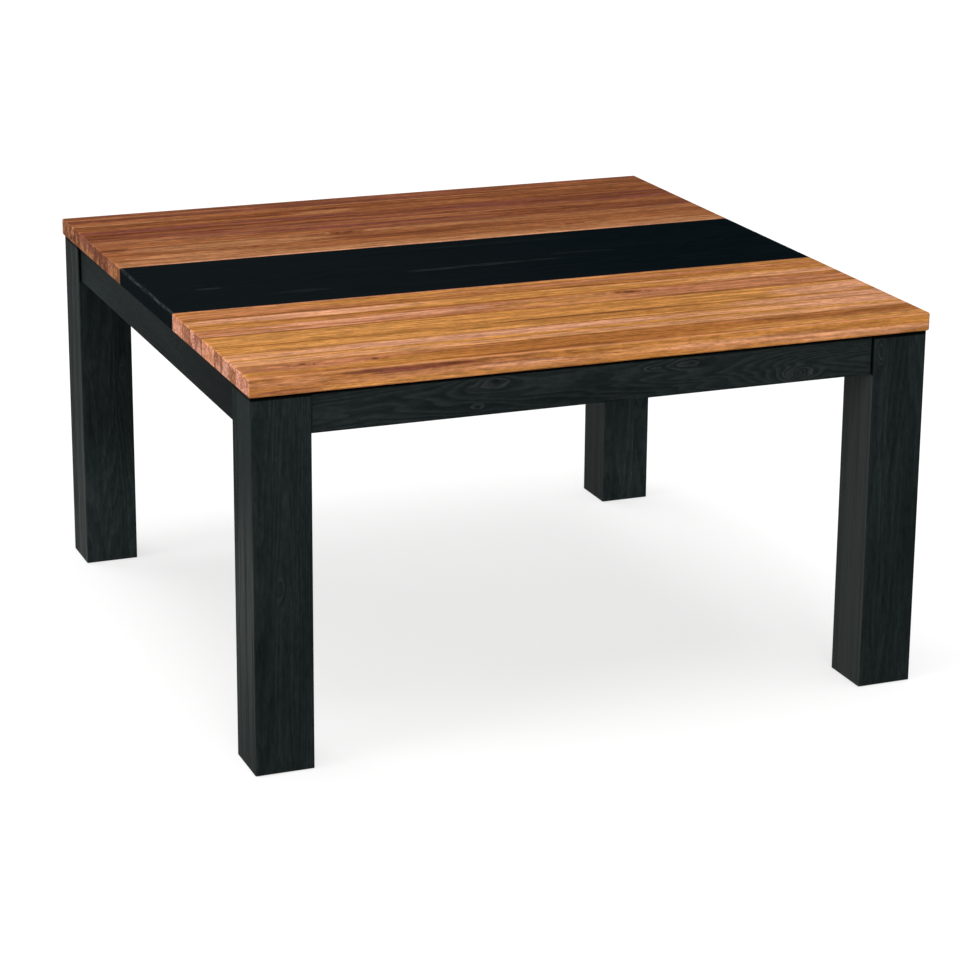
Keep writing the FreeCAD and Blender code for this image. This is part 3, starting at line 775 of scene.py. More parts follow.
@built_once
def knot_flow(name):
    """Push and swell that bend the grain round a knot, its dark core and the darker wood round it."""
    inputs = ("Along", "Across", "Knot Along", "Knot Across", "Radius", "Stretch")
    tree, recipe, given, wanted = new_group(name, inputs, ("Push", "Swell", "Core", "Halo"))
    off_along = recipe.minus(given["Along"], given["Knot Along"])
    off_across = recipe.minus(given["Across"], given["Knot Across"])
    rough = recipe.noise((given["Along"], given["Across"], 0.0), KNOT_SCALES, detail=2.0)
    uneven = recipe.span(rough, *KNOT_UNEVEN)
    lopsided = recipe.noise((given["Along"], given["Across"], 3.0), LUMP_SCALES)

    def radii_away(stretch, spread):
        """Distance from the knot, in spread radii, on an oval drawn out along the grain."""
        away = recipe.distance(recipe.math("DIVIDE", off_along, stretch), off_across)
        return recipe.math("DIVIDE", away, recipe.times(given["Radius"], spread))

    def closeness(stretch, spread):
        """Value that falls away from 1 at the knot like a bell."""
        far = radii_away(stretch, spread)
        return recipe.math("EXPONENT", recipe.times(recipe.times(far, far), -1.0))

    pull = recipe.times(closeness(stretch=4.0, spread=3.0), KNOT_PULL)
    drawn_out = recipe.times(given["Stretch"], LUMP_STRETCH)
    lump = recipe.times(closeness(drawn_out, spread=1.8), recipe.span(lopsided, *LUMP_UNEVEN))
    core = recipe.times(radii_away(given["Stretch"], spread=1.0), uneven)
    halo = recipe.times(radii_away(stretch=3.0, spread=2.2), uneven)
    recipe.feed(wanted["Push"], recipe.times(pull, off_across))
    recipe.feed(wanted["Swell"], recipe.times(lump, given["Radius"]))
    recipe.feed(wanted["Core"], recipe.step(core, *CORE_FADE))
    recipe.feed(wanted["Halo"], recipe.step(halo, *HALO_FADE))
    return tree


@built_once
def soft_mark(name):
    """Mask of a long patch with a soft, ragged edge."""
    inputs = ("Along", "Across", "Mark Along", "Mark Across", "Half Length", "Half Width", "Strength")
    tree, recipe, given, wanted = new_group(name, inputs, ("Mask",))
    place = (given["Along"], given["Across"], 0.0)
    ragged = recipe.noise(place, MARK_SCALES, detail=4.0, roughness=0.65)
    sway = recipe.noise((given["Along"], given["Across"], 5.0), SWAY_SCALES)
    drift = recipe.times(recipe.minus(sway, 0.5), given["Half Width"])
    swayed = recipe.math("MULTIPLY_ADD", drift, MARK_SWAY, given["Across"])
    along = recipe.math("DIVIDE", recipe.minus(given["Along"], given["Mark Along"]), given["Half Length"])
    across = recipe.math("DIVIDE", recipe.minus(swayed, given["Mark Across"]), given["Half Width"])
    reach = recipe.total(recipe.distance(along, across), recipe.span(ragged, *MARK_FRAYED))
    recipe.feed(wanted["Mask"], recipe.times(recipe.step(reach, *MARK_FADE), given["Strength"]))
    return tree


@built_once
def arris_wear(name):
    """Mask along the arris between two faces, broken up along its length."""
    inputs = ("Along", "From First", "From Second", "Reach", "Patchiness")
    tree, recipe, given, wanted = new_group(name, inputs, ("Mask",))
    place = (given["Along"], given["From First"], given["From Second"])
    rubbed = recipe.minus(1.0, recipe.times(recipe.texture(place, UNRUBBED), given["Patchiness"]))
    away = recipe.distance(given["From First"], given["From Second"])
    recipe.feed(wanted["Mask"], recipe.times(recipe.step(away, given["Reach"], 0.0), rubbed))
    return tree


def new_material(name):
    """Material with a principled surface. Returns it, its recipe and the surface's inputs."""
    material = bpy.data.materials.new(name)
    material.use_nodes = True
    surface = material.node_tree.nodes["Principled BSDF"].inputs
    return material, Recipe(material.node_tree), surface


def raise_grain(recipe, surface, height, depth):
    """Bump the surface by a height, at this depth in metres."""
    bump = recipe.node("ShaderNodeBump")
    recipe.feed(bump.inputs["Height"], height)
    recipe.feed(bump.inputs["Distance"], depth)
    recipe.feed(surface["Normal"], bump.outputs["Normal"])


def flow_round_knots(recipe, along, across, through, knots):
    """Across and through coordinates bent round knots, with masks of the knots and the wood round them."""
    bent = across
    deep = through
    core = 0.0
    halo = 0.0
    for knot in knots:
        flow = recipe.group(
            knot_flow(), along=along, across=across, knot_along=knot.along, knot_across=knot.across,
            radius=knot.radius, stretch=knot.stretch
        )
        bent = recipe.total(bent, flow["Push"])
        deep = recipe.total(deep, flow["Swell"])
        core = recipe.math("MAXIMUM", core, flow["Core"])
        halo = recipe.math("MAXIMUM", halo, flow["Halo"])
    return bent, deep, core, halo


def add_marks(recipe, colour, along, across, marks, tones):
    """Colour with soft marks of other tones laid over it."""
    for mark in marks:
        mask = recipe.group(
            soft_mark(), along=along, across=across, mark_along=mark.along, mark_across=mark.across,
            half_length=mark.half_length, half_width=mark.half_width, strength=mark.strength
        )["Mask"]
        colour = recipe.mix(mask, colour, rgba(getattr(tones, mark.tone)))
    return colour


def rubbed_arris(recipe, along, inset, height, reach, patchiness):
    """Wear along an upper edge of the table top, from the distance in from its side. On the hardwood it is
    partly a painted highlight.
    """
    from_top = recipe.minus(TOP_LEVEL, height)
    return recipe.group(
        arris_wear(), along=along, from_first=inset, from_second=from_top, reach=reach,
        patchiness=patchiness
    )["Mask"]


def glue_lines(recipe, along, across, low, high, ends):
    """Fine lines along the two joints of a stave, broken except on its sawn ends."""
    from_joint = recipe.math("MINIMUM", recipe.minus(across, low), recipe.minus(high, across))
    close = recipe.step(from_joint, *GLUE_LINE)
    from_side = recipe.minus(HALF_DEPTH, recipe.math("ABSOLUTE", across))
    inside = recipe.step(from_side, *GLUE_END)
    kept = recipe.math("MAXIMUM", ends, recipe.texture((along, low, high), UNBROKEN))
    return recipe.times(recipe.times(close, inside), kept)


def hardwood(name, stave, tones, sawn, pale, seed):
    """Oiled hardwood of one stave, with its figure running through to the sawn ends."""
    material, recipe, surface = new_material(name)
    low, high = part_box(name)
    x, y, z = recipe.place()
    bent, deep, core, halo = flow_round_knots(recipe, x, y, z, stave.knots)
    figure = recipe.group(
        board_figure(), along=x, across=bent, through=deep, slope=0.02, wander=0.06, seed=seed,
        pith_across=(low.y + high.y) / 2 + stave.pith_across, pith_through=TOP_LEVEL + stave.pith_through,
        ring_width=tones.ring_width
    )
    base, grain, patch = (getattr(tones, tone) for tone in (stave.base, stave.grain, stave.tint))
    colour = recipe.mix(figure["Streak"], rgba(base), rgba(grain))
    colour = recipe.tint(colour, figure["Tint"], strength=0.6, tone=patch)
    colour = add_marks(recipe, colour, x, bent, stave.marks, tones)
    edge = add_marks(recipe, colour, x, z, stave.edge_marks, tones)
    colour = recipe.mix(recipe.step(recipe.facing(1), *EDGE_FACES), colour, edge)
    sawn_tone = recipe.mix(0.5, colour, rgba(sawn))
    sawn_tone = recipe.darken(sawn_tone, END_SHADE + END_VARIETY * math.cos(seed * END_TURN))
    sawn_tone = recipe.tint(sawn_tone, figure["Tint"], strength=0.75, tone=pale)
    ends = recipe.step(recipe.facing(0), *END_FACES)
    colour = recipe.mix(ends, colour, sawn_tone)
    rings = recipe.span(ends, *RINGS_SHOWN)
    for mask, strength in ((figure["Late"], rings), (halo, HALO_SHOWN), (core, CORE_SHOWN)):
        colour = recipe.tint(colour, mask, strength, tones.umber)
    for part, shares in HARDWOOD_SHADES.items():
        colour = recipe.shade(colour, figure[part], *shares)
    for part, strength in HARDWOOD_SPECKS.items():
        colour = recipe.tint(colour, figure[part], strength, tones.umber)
    joints = glue_lines(recipe, x, y, low.y, high.y, ends)
    colour = recipe.tint(colour, joints, strength=0.75, tone=tones.umber)
    # Wear along the front and back arrises, partly a painted highlight along the lit edge
    inset = recipe.minus(HALF_DEPTH, recipe.math("ABSOLUTE", y))
    wear = rubbed_arris(recipe, x, inset, z, HARDWOOD_ARRIS, patchiness=0.3)
    colour = recipe.tint(colour, wear, strength=0.7, tone=tones.blush)
    # Painted light: paler towards the left end and darker towards the right
    colour = recipe.darken(colour, recipe.math("MULTIPLY_ADD", x, -tones.fade / HALF_WIDTH, 1.0))
    recipe.feed(surface["Base Color"], colour)
    smooth, rough = (tones.roughness + change for change in (-HARDWOOD_UNEVEN, HARDWOOD_UNEVEN))
    recipe.feed(surface["Roughness"], recipe.span(figure["Fibre"], smooth, rough))
    surface["Specular IOR Level"].default_value = HARDWOOD_GLOSS
    height = recipe.minus(recipe.times(figure["Late"], HARDWOOD_RINGS), figure["Pore"])
    raise_grain(recipe, surface, height, tones.pore_depth)
    return material


class Sawing(NamedTuple):
    """How a black board was sawn, with axes 0 for X, 1 for Y and 2 for Z. The pith is across and through."""
    along: int
    across: int
    through: int
    pith: tuple
    seed: int
    gloss: float
    knots: tuple = ()
    figuring: float = 0.45
    wander: float = 0.06
    rings: float = 1.0
    relief: float = 1.0


class Stained(NamedTuple):
    """Material of a black board, still without its colour, and what its colour is made from."""
    material: bpy.types.Material
    recipe: Recipe
    surface: bpy.types.bpy_prop_collection
    place: tuple
    figure: bpy.types.bpy_prop_collection
    colour: bpy.types.NodeSocket


def brushed_black(name, finish, sawing):
    """Black stained softwood with its soft rings brushed out."""
    material, recipe, surface = new_material(name)
    place = recipe.place()
    along, across, through = (place[axis] for axis in (sawing.along, sawing.across, sawing.through))
    bent, deep, core, halo = flow_round_knots(recipe, along, across, through, sawing.knots)
    figure = recipe.group(
        board_figure(), along=along, across=bent, through=deep, slope=0.03, wander=sawing.wander,
        pith_across=sawing.pith[0], pith_through=sawing.pith[1], seed=sawing.seed,
        ring_width=finish.ring_width * sawing.rings
    )
    shown = (("Streak", STREAK_SHOWN), ("Late", sawing.figuring), ("Line", LINE_SHOWN))
    lifted = recipe.total(*(recipe.times(figure[part], share) for part, share in shown))
    colour = recipe.mix(lifted, rgba(finish.stain), rgba(finish.raised))
    colour = recipe.tint(colour, recipe.times(halo, figure["Late"]), sawing.figuring, finish.broad)
    for part, shares in BLACK_SHADES.items():
        colour = recipe.shade(colour, figure[part], *shares)
    colour = recipe.shade(colour, core, 1.0, BLACK_CORE)
    smooth = finish.roughness - BLACK_UNEVEN
    recipe.feed(surface["Roughness"], recipe.span(figure["Late"], finish.roughness, smooth))
    surface["Specular IOR Level"].default_value = sawing.gloss
    height = recipe.total(figure["Late"], recipe.times(figure["Fibre"], BLACK_FIBRES), halo)
    raise_grain(recipe, surface, height, finish.brush_depth * sawing.relief)
    return Stained(material, recipe, surface, place, figure, colour)


def shade_under_top(recipe, colour, height):
    """Colour with painted shade in the corner under the overhanging top."""
    below = recipe.minus(TOP_UNDER, height)
    return recipe.shade(colour, recipe.step(below, *TOP_SHADE), CORNER_SHADE, 1.0)


def black_board(name, finish, seed):
    """Board of the black centre panel, with pale scuffs, painted highlights, a rubbed end, and painted light
    that darkens it towards the right.
    """
    low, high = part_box(name)
    pith = ((low.y + high.y) / 2, TOP_LEVEL - PANEL_PITH)
    board = brushed_black(name, finish, Sawing(0, 1, 2, pith, seed, PANEL_GLOSS, relief=0.4))
    recipe = board.recipe
    x, y, z = board.place
    # Painted light: darker from the left end towards the right
    stain = recipe.mix(recipe.step(x, -HALF_WIDTH, HALF_WIDTH), rgba(finish.panel), rgba(finish.deep_panel))
    colour = recipe.mix(PANEL_STAIN, board.colour, stain)
    # Pale scuffs and painted highlights where the brushed grain catches the light
    scuffed = add_marks(recipe, colour, x, y, PANEL_SCUFFS_AND_GLINTS, finish)
    colour = recipe.mix(recipe.texture(board.place, SCRATCHES), colour, scuffed)
    wear = rubbed_arris(recipe, y, recipe.total(x, HALF_WIDTH), z, PANEL_ARRIS, patchiness=0.97)
    colour = recipe.tint(colour, wear, strength=0.7, tone=finish.worn)
    recipe.feed(board.surface["Base Color"], colour)
    return board.material


def black_leg(name, finish, seed):
    """Lamination of a leg, with grain up it, painted sheen on its broad faces and painted shade on its inward
    faces and under the top. The back legs are painted darker up under the top and paler towards the foot.
    """
    low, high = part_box(name)
    middle = (low + high) / 2
    pith = (
        middle.x + LEG_PITH[0] * math.cos(seed * LEG_PITH_TURN[0]),
        middle.y + LEG_PITH[1] * math.sin(seed * LEG_PITH_TURN[1]),
    )
    board = brushed_black(name, finish, Sawing(2, 0, 1, pith, seed, LEG_GLOSS, LEG_KNOTS.get(name, ())))
    recipe = board.recipe
    z = board.place[2]
    below_apron = recipe.step(recipe.minus(z, APRON_UNDER), *APRON_SHADE)
    streaks = recipe.total(board.figure["Streak"], board.figure["Line"])
    # Painted shade and light: the back legs darker up under the top and paler towards the foot, with less
    # grey on their inner faces
    if name.startswith("leg_back"):
        low_down = recipe.step(z, *BACK_LEG_FADE)
        stain = recipe.shade(board.colour, low_down, *BACK_LEG_SHADE_RAMP)
        sheen_share = recipe.span(low_down, *BACK_LEG_SHEEN_SHARES)
        inner_grey = BACK_LEG_GREY
    else:
        stain = recipe.darken(board.colour, FRONT_LEG_STAIN)
        sheen_share = recipe.times(*(recipe.step(z, *fade) for fade in FRONT_LEG_FADES))
        inner_grey = 1.0
    # Painted sheen: grey on the broad faces, over a band of heights on the outer laminations and below the
    # aprons on the others
    if name.endswith("outer"):
        grey = recipe.shade(rgba(finish.broad), streaks, *OUTER_GREY)
    else:
        sheen_share = below_apron
        shares = (share * inner_grey for share in INNER_GREY)
        grey = recipe.shade(rgba(finish.broad), streaks, *shares)
    broad = recipe.step(recipe.facing(0), *LEG_FACES)
    colour = recipe.mix(recipe.times(broad, sheen_share), stain, grey)
    # Painted shade on the inward faces above the aprons' lower edge
    sides = zip(recipe.normal(), (low.x, low.y))
    inward = [recipe.times(part, -math.copysign(1.0, side)) for part, side in sides]
    outer_side = recipe.minus(1.0, recipe.step(recipe.math("MAXIMUM", *inward), *LEG_FACES))
    colour = recipe.shade(colour, recipe.math("MAXIMUM", below_apron, outer_side), INWARD_SHADE, 1.0)
    # Painted shade under the overhanging top
    recipe.feed(board.surface["Base Color"], shade_under_top(recipe, colour, z))
    return board.material


def black_apron(name, finish, apron, seed):
    """Apron, with grain along its length and painted shade under the top. The side aprons are painted paler
    towards the back, as painted light.
    """
    low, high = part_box(name)
    through = 1 - apron.along
    pith = (low.z + apron.pith, (low[through] + high[through]) / 2 * APRON_PITH)
    board = brushed_black(name, finish, Sawing(
        apron.along, 2, through, pith, seed, APRON_GLOSS, apron.knots, apron.figuring,
        wander=0.08, rings=0.7
    ))
    recipe = board.recipe
    # Painted shade under the overhanging top
    colour = shade_under_top(recipe, board.colour, board.place[2])
    # Painted light: the side aprons paler towards the back and darker towards the front
    if apron.along == 1:
        towards_back = recipe.step(board.place[1], -HALF_DEPTH, HALF_DEPTH)
        colour = recipe.shade(colour, towards_back, *SIDE_APRON_SHADES)
    recipe.feed(board.surface["Base Color"], colour)
    return board.material


def softwood(name, finish, heading, seed):
    """Planed pale softwood of the hidden pieces, with its grain at an angle from X."""
    material, recipe, surface = new_material(name)
    aligned = recipe.node("ShaderNodeMapping", vector_type="TEXTURE")
    recipe.feed(aligned.inputs["Vector"], recipe.node("ShaderNodeTexCoord").outputs["Object"])
    aligned.inputs["Rotation"].default_value = (0.0, 0.0, heading)
    along, across, through = recipe.split(aligned.outputs["Vector"])
    figure = recipe.group(
        board_figure(), along=along, across=across, through=through, pith_across=0.05,
        pith_through=TOP_UNDER - 0.12, slope=0.02, wander=0.10, ring_width=finish.ring_width, seed=seed
    )
    colour = recipe.tint(rgba(finish.sapwood), figure["Late"], strength=0.8, tone=finish.summerwood)
    colour = recipe.tint(colour, figure["Fibre"], strength=0.3, tone=finish.summerwood)
    recipe.feed(surface["Base Color"], colour)
    recipe.feed(surface["Roughness"], recipe.span(figure["Fibre"], 0.55, 0.75))
    height = recipe.total(figure["Late"], recipe.times(figure["Fibre"], SOFTWOOD_FIBRES))
    raise_grain(recipe, surface, height, finish.grain_depth)
    return material


def plated_steel(finish):
    """Bright zinc plating, slightly clouded."""
    name = "zinc_plated_steel"
    if name in bpy.data.materials:
        return bpy.data.materials[name]
    material, recipe, surface = new_material(name)
    cloud = recipe.noise(recipe.place(), (90.0, 90.0, 90.0), detail=4.0, roughness=0.6)
    dull = tuple(0.7 * part for part in finish.zinc)
    colour = recipe.mix(recipe.step(cloud, 0.35, 0.7), rgba(finish.zinc), rgba(dull))
    recipe.feed(surface["Base Color"], colour)
    recipe.feed(surface["Roughness"], recipe.span(cloud, 0.15, 0.45))
    surface["Metallic"].default_value = 1.0
    return material


def moulded_nylon(finish):
    """Dark moulded nylon, scuffed where it slides."""
    material, recipe, surface = new_material("glide_nylon")
    place = recipe.place()
    grain = recipe.noise(place, (900.0, 900.0, 900.0), detail=2.0)
    scuff = recipe.texture(place, SCUFFS)
    pale = tuple(3.0 * part for part in finish.nylon)
    recipe.feed(surface["Base Color"], recipe.mix(scuff, rgba(finish.nylon), rgba(pale)))
    recipe.feed(surface["Roughness"], recipe.span(scuff, 0.5, 0.7))
    raise_grain(recipe, surface, grain, finish.mould_depth)
    return material


def dress(node, material):
    """Give a piece of the frame its finish."""
    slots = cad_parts[node].data.materials
    slots.clear()
    slots.append(material)


class FinishStaves(bpy.types.Operator):
    """Finish the hardwood staves of both panels, each with its own figure"""
    bl_idname = "table.finish_staves"
    bl_label = "Finish Staves"

    def execute(self, context):
        tones = context.scene.table_hardwood
        panels = (
            ("front", FRONT_STAVES, tones.end_grain, tones.pale_end),
            ("back", BACK_STAVES, tones.dark_end_grain, tones.tan),
        )
        for panel, staves, sawn, pale in panels:
            for number, stave in enumerate(staves, 1):
                name = f"{panel}_stave_{number}"
                dress(name, hardwood(name, stave, tones, sawn, pale, number + len(panel)))
        return {"FINISHED"}


class FinishCentrePanel(bpy.types.Operator):
    """Finish the boards of the black centre panel"""
    bl_idname = "table.finish_centre_panel"
    bl_label = "Finish Centre Panel"

    def execute(self, context):
        for seed, side in enumerate(("front", "middle", "back"), CENTRE_SEED):
            name = f"centre_board_{side}"
            dress(name, black_board(name, context.scene.table_black, seed))
        return {"FINISHED"}


class FinishLegs(bpy.types.Operator):
    """Finish the laminations of the legs"""
    bl_idname = "table.finish_legs"
    bl_label = "Finish Legs"

    def execute(self, context):
        pieces = itertools.product(CORNERS, LAMINATIONS)
        for seed, (corner, lamination) in enumerate(pieces, LEG_SEED):
            name = f"leg_{corner}_{lamination}"
            dress(name, black_leg(name, context.scene.table_black, seed))
        return {"FINISHED"}


class FinishAprons(bpy.types.Operator):
    """Finish the aprons"""
    bl_idname = "table.finish_aprons"
    bl_label = "Finish Aprons"

    def execute(self, context):
        for seed, (side, apron) in enumerate(APRONS.items(), APRON_SEED):
            name = f"{side}_apron"
            dress(name, black_apron(name, context.scene.table_black, apron, seed))
        return {"FINISHED"}


class FinishHiddenWood(bpy.types.Operator):
    """Finish the battens, corner blocks, buttons and tongues in plain softwood"""
    bl_idname = "table.finish_hidden_wood"
    bl_label = "Finish Hidden Wood"

    def execute(self, context):
        for seed, (name, (angle, nodes)) in enumerate(SOFTWOODS.items(), SOFTWOOD_SEED):
            material = softwood(name, context.scene.table_hidden, math.radians(angle), seed)
            for node in nodes:
                dress(node, material)
        return {"FINISHED"}


class Seat(NamedTuple):
    """Foot, direction and length of one piece of hardware in the frame."""
    foot: Vector
    heading: Vector
    length: float


def upright(middle):
    """Straight up, wherever the piece stands."""
    return UP


def into_corner(middle):
    """Level, along the diagonal of the nearest corner."""
    return Vector((math.copysign(1.0, middle.x), math.copysign(1.0, middle.y), 0.0)).normalized()


def pick(*pieces):
    """Select only these objects, with the first one active."""
    bpy.ops.object.select_all(action="DESELECT")
    for piece in pieces:
        piece.select_set(True)
    bpy.context.view_layer.objects.active = pieces[0]


def edit_all():
    """Go into edit mode with the whole mesh selected."""
    bpy.ops.object.mode_set(mode="EDIT")
    bpy.ops.mesh.select_all(action="SELECT")


def seat_of(points, heading):
    """Seat of a solid with these corner points."""
    low, high = (Vector([limit(part) for part in zip(*points)]) for limit in (min, max))
    middle = (low + high) / 2
    direction = heading(middle)
    reach = [direction.dot(point) for point in points]
    foot = middle + direction * (min(reach) - direction.dot(middle))
    return Seat(foot, direction, max(reach) - min(reach))


def seats(node, heading):
    """Seat of each solid in a node of the frame, read off a merged copy."""
    pick(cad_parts[node])
    bpy.ops.object.duplicate()
    edit_all()
    bpy.ops.mesh.remove_doubles(threshold=MERGE)
    bpy.ops.mesh.separate(type="LOOSE")
    bpy.ops.object.mode_set(mode="OBJECT")
    copies = bpy.context.selected_objects
    found = [seat_of([vertex.co.copy() for vertex in copy.data.vertices], heading) for copy in copies]
    bpy.ops.object.delete()
    return found


def draw_outline(stations):
    """Line through (radius, height) stations in the XZ plane, left selected in edit mode."""
    bpy.ops.object.select_all(action="DESELECT")
    bpy.ops.mesh.primitive_plane_add(size=stations[0][0] + OVERLAP)
    bpy.ops.object.mode_set(mode="EDIT")
    bpy.ops.mesh.merge(type="CENTER")
    bpy.ops.transform.translate(value=(stations[0][0], 0.0, stations[0][1]))
    for (radius, height), (next_radius, next_height) in zip(stations[:-1], stations[1:]):
        step = (next_radius - radius, 0.0, next_height - height)
        bpy.ops.mesh.extrude_region_move(TRANSFORM_OT_translate={"value": step})
    bpy.ops.mesh.select_all(action="SELECT")


def close_mesh():
    """Merge what meets and turn the faces outwards, from edit mode."""
    bpy.ops.mesh.select_all(action="SELECT")
    bpy.ops.mesh.remove_doubles(threshold=MERGE)
    bpy.ops.mesh.normals_make_consistent(inside=False)
    bpy.ops.object.mode_set(mode="OBJECT")


def turn_on_lathe(stations):
    """Round piece about Z. Its outline runs from axis to axis, or comes back to where it starts."""
    draw_outline(stations)
    bpy.ops.mesh.spin(steps=ROUND_SIDES, angle=2 * math.pi, center=(0.0, 0.0, 0.0), axis=UP)
    close_mesh()
    return bpy.context.active_object


def cut_thread(root, crest, pitch, foot, head):
    """Rod about Z with a helical thread between two heights."""
    low = foot - 2 * pitch
    rise, fall = (low + share * pitch for share in THREAD_CREST)
    draw_outline([(root, low), (crest, rise), (crest, fall), (root, low + pitch)])
    bpy.ops.object.mode_set(mode="OBJECT")
    rod = bpy.context.active_object
    helix = rod.modifiers.new("Helix", "SCREW")
    helix.screw_offset = pitch
    helix.iterations = math.ceil((head - foot) / pitch) + 4
    helix.steps = THREAD_STEPS
    helix.render_steps = THREAD_STEPS
    bpy.ops.object.modifier_apply(modifier=helix.name)
    edit_all()
    bpy.ops.mesh.remove_doubles(threshold=MERGE)
    for height, side in ((foot, -1.0), (head, 1.0)):
        bpy.ops.mesh.select_all(action="SELECT")
        bpy.ops.mesh.bisect(
            plane_co=(0.0, 0.0, height), plane_no=(0.0, 0.0, side), use_fill=True, clear_outer=True
        )
    close_mesh()
    return rod


def combine(piece, other, operation):
    """Join a piece with another, cut the other out of it or keep what they share. The other is used up."""
    pick(piece)
    joint = piece.modifiers.new("Joint", "BOOLEAN")
    joint.object = other
    joint.operation = operation
    joint.solver = "EXACT"
    bpy.ops.object.modifier_apply(modifier=joint.name)
    bpy.data.objects.remove(other)
    return piece


def recess_blade(length, width, depth, angle):
    """Tapered blade that sinks one bar of a cross recess into a screw head at the origin."""
    bpy.ops.object.select_all(action="DESELECT")
    sunk = (0.0, 0.0, depth / 2 - OVERLAP)
    bpy.ops.mesh.primitive_cube_add(size=1.0, location=sunk, rotation=(0.0, 0.0, angle))
    blade = bpy.context.active_object
    blade.scale = (length, width, depth)
    bpy.ops.object.mode_set(mode="EDIT")
    bpy.ops.mesh.select_mode(type="FACE")
    bpy.ops.mesh.select_all(action="DESELECT")
    bpy.ops.object.mode_set(mode="OBJECT")
    for face in blade.data.polygons:
        face.select = face.normal.z > 0.5
    bpy.ops.object.mode_set(mode="EDIT")
    bpy.ops.transform.resize(value=RECESS_TAPER, orient_type="LOCAL")
    bpy.ops.mesh.select_mode(type="VERT")
    bpy.ops.object.mode_set(mode="OBJECT")
    bpy.ops.object.transform_apply(location=True, rotation=True, scale=True)
    return blade


def countersunk_head(sizes):
    """Outline of a countersunk head, from the axis to the neck."""
    rim = sizes.screw_head
    ease = EASE * rim
    return [(0.0, 0.0), (rim - ease, 0.0), (rim, ease), (sizes.screw_radius, rim - sizes.screw_radius)]


def pan_head(sizes):
    """Outline of a pan head with a rounded crown, from the axis to the neck."""
    crown = [(across * sizes.screw_head, up * sizes.pan_height) for across, up in PAN_CROWN]
    return [*crown, (sizes.screw_radius, sizes.pan_height)]


def wood_screw(length, outline, sizes):
    """Tapered wood screw along Z, with a cross recess in the head at its foot."""
    neck = outline[-1][1]
    shank = cut_thread(sizes.screw_root, sizes.screw_radius, sizes.screw_pitch, 0.0, length - neck)
    taper = shank.modifiers.new("Taper", "SIMPLE_DEFORM")
    taper.deform_method = "TAPER"
    taper.deform_axis = "Z"
    taper.factor = sizes.tip_radius / sizes.screw_radius - 1.0
    bpy.ops.object.modifier_apply(modifier=taper.name)
    edit_all()
    bpy.ops.transform.translate(value=(0.0, 0.0, neck))
    bpy.ops.object.mode_set(mode="OBJECT")
    throat = neck + OVERLAP
    wide, narrow = (share * sizes.screw_radius for share in SCREW_THROAT)
    head = turn_on_lathe([*outline[:-1], (wide, neck), (narrow, throat), (0.0, throat)])
    bar_length, bar_width = (share * sizes.screw_head for share in RECESS_BAR)
    for angle in (0.0, math.pi / 2):
        blade = recess_blade(bar_length, bar_width, sizes.screw_recess, angle)
        combine(head, blade, "DIFFERENCE")
    return combine(head, shank, "UNION")


def hanger_bolt(length, sizes):
    """Hanger bolt along Z: a machine thread at its foot, a plain collar and a pointed wood thread."""
    thread_end = length - sizes.bolt_bite - sizes.bolt_collar
    bite_start = length - sizes.bolt_bite
    plain = COLLAR_SHARE * sizes.bolt_radius
    low = thread_end - OVERLAP
    high = bite_start + OVERLAP
    collar = turn_on_lathe([
        (0.0, low), (sizes.bolt_root, low), (plain, thread_end), (plain, bite_start),
        (sizes.coarse_root, high), (0.0, high),
    ])
    fine = cut_thread(sizes.bolt_root, sizes.bolt_radius, sizes.bolt_pitch, 0.0, thread_end)
    coarse = cut_thread(sizes.coarse_root, sizes.bolt_radius, sizes.coarse_pitch, bite_start, length)
    bolt = combine(combine(collar, fine, "UNION"), coarse, "UNION")
    girth = sizes.bolt_radius + OVERLAP
    ease = sizes.bolt_radius - sizes.bolt_root + 2 * OVERLAP
    blank = turn_on_lathe([
        (0.0, 0.0), (girth - ease, 0.0), (girth, ease), (girth, length - sizes.bolt_point),
        (sizes.tip_radius, length), (0.0, length),
    ])
    return combine(bolt, blank, "INTERSECT")


def hexagon_nut(height, sizes):
    """Hexagon nut along Z, chamfered on both faces, with countersunk mouths to its bore."""
    corner = sizes.nut_across / 2 / math.cos(math.pi / 6)
    half_side = (0.0, 0.0, math.pi / ROUND_SIDES)
    bpy.ops.object.select_all(action="DESELECT")
    bpy.ops.mesh.primitive_circle_add(vertices=6, radius=corner, fill_type="NGON", rotation=half_side)
    nut = bpy.context.active_object
    bpy.ops.object.transform_apply(location=False, rotation=True, scale=False)
    edit_all()
    bpy.ops.transform.translate(value=(0.0, 0.0, -OVERLAP))
    bpy.ops.mesh.extrude_region_move(TRANSFORM_OT_translate={"value": (0.0, 0.0, height + 2 * OVERLAP)})
    close_mesh()
    flat = NUT_FACE * sizes.nut_across / 2
    outside = corner + OVERLAP
    slope = (outside - flat) * math.tan(NUT_CHAMFER)
    disc = turn_on_lathe([
        (0.0, 0.0), (flat, 0.0), (outside, slope), (outside, height - slope), (flat, height), (0.0, height),
    ])
    combine(nut, disc, "INTERSECT")
    mouth = NUT_MOUTH * sizes.nut_bore
    sink = mouth - sizes.nut_bore
    bore = turn_on_lathe([
        (0.0, -OVERLAP), (mouth + OVERLAP, -OVERLAP), (sizes.nut_bore, sink),
        (sizes.nut_bore, height - sink), (mouth + OVERLAP, height + OVERLAP), (0.0, height + OVERLAP),
    ])
    return combine(nut, bore, "DIFFERENCE")


def flat_washer(height, sizes):
    """Stamped washer along Z, with one rounded and one sharp side."""
    rim = sizes.washer_radius
    hole = sizes.washer_hole
    soft = WASHER_ROUND * height
    edge = [(rim - inwards * soft, up * soft) for inwards, up in WASHER_EDGE]
    return turn_on_lathe([
        (hole, soft), (hole + soft, 0.0), *edge, (rim, height), (hole, height), (hole, soft),
    ])


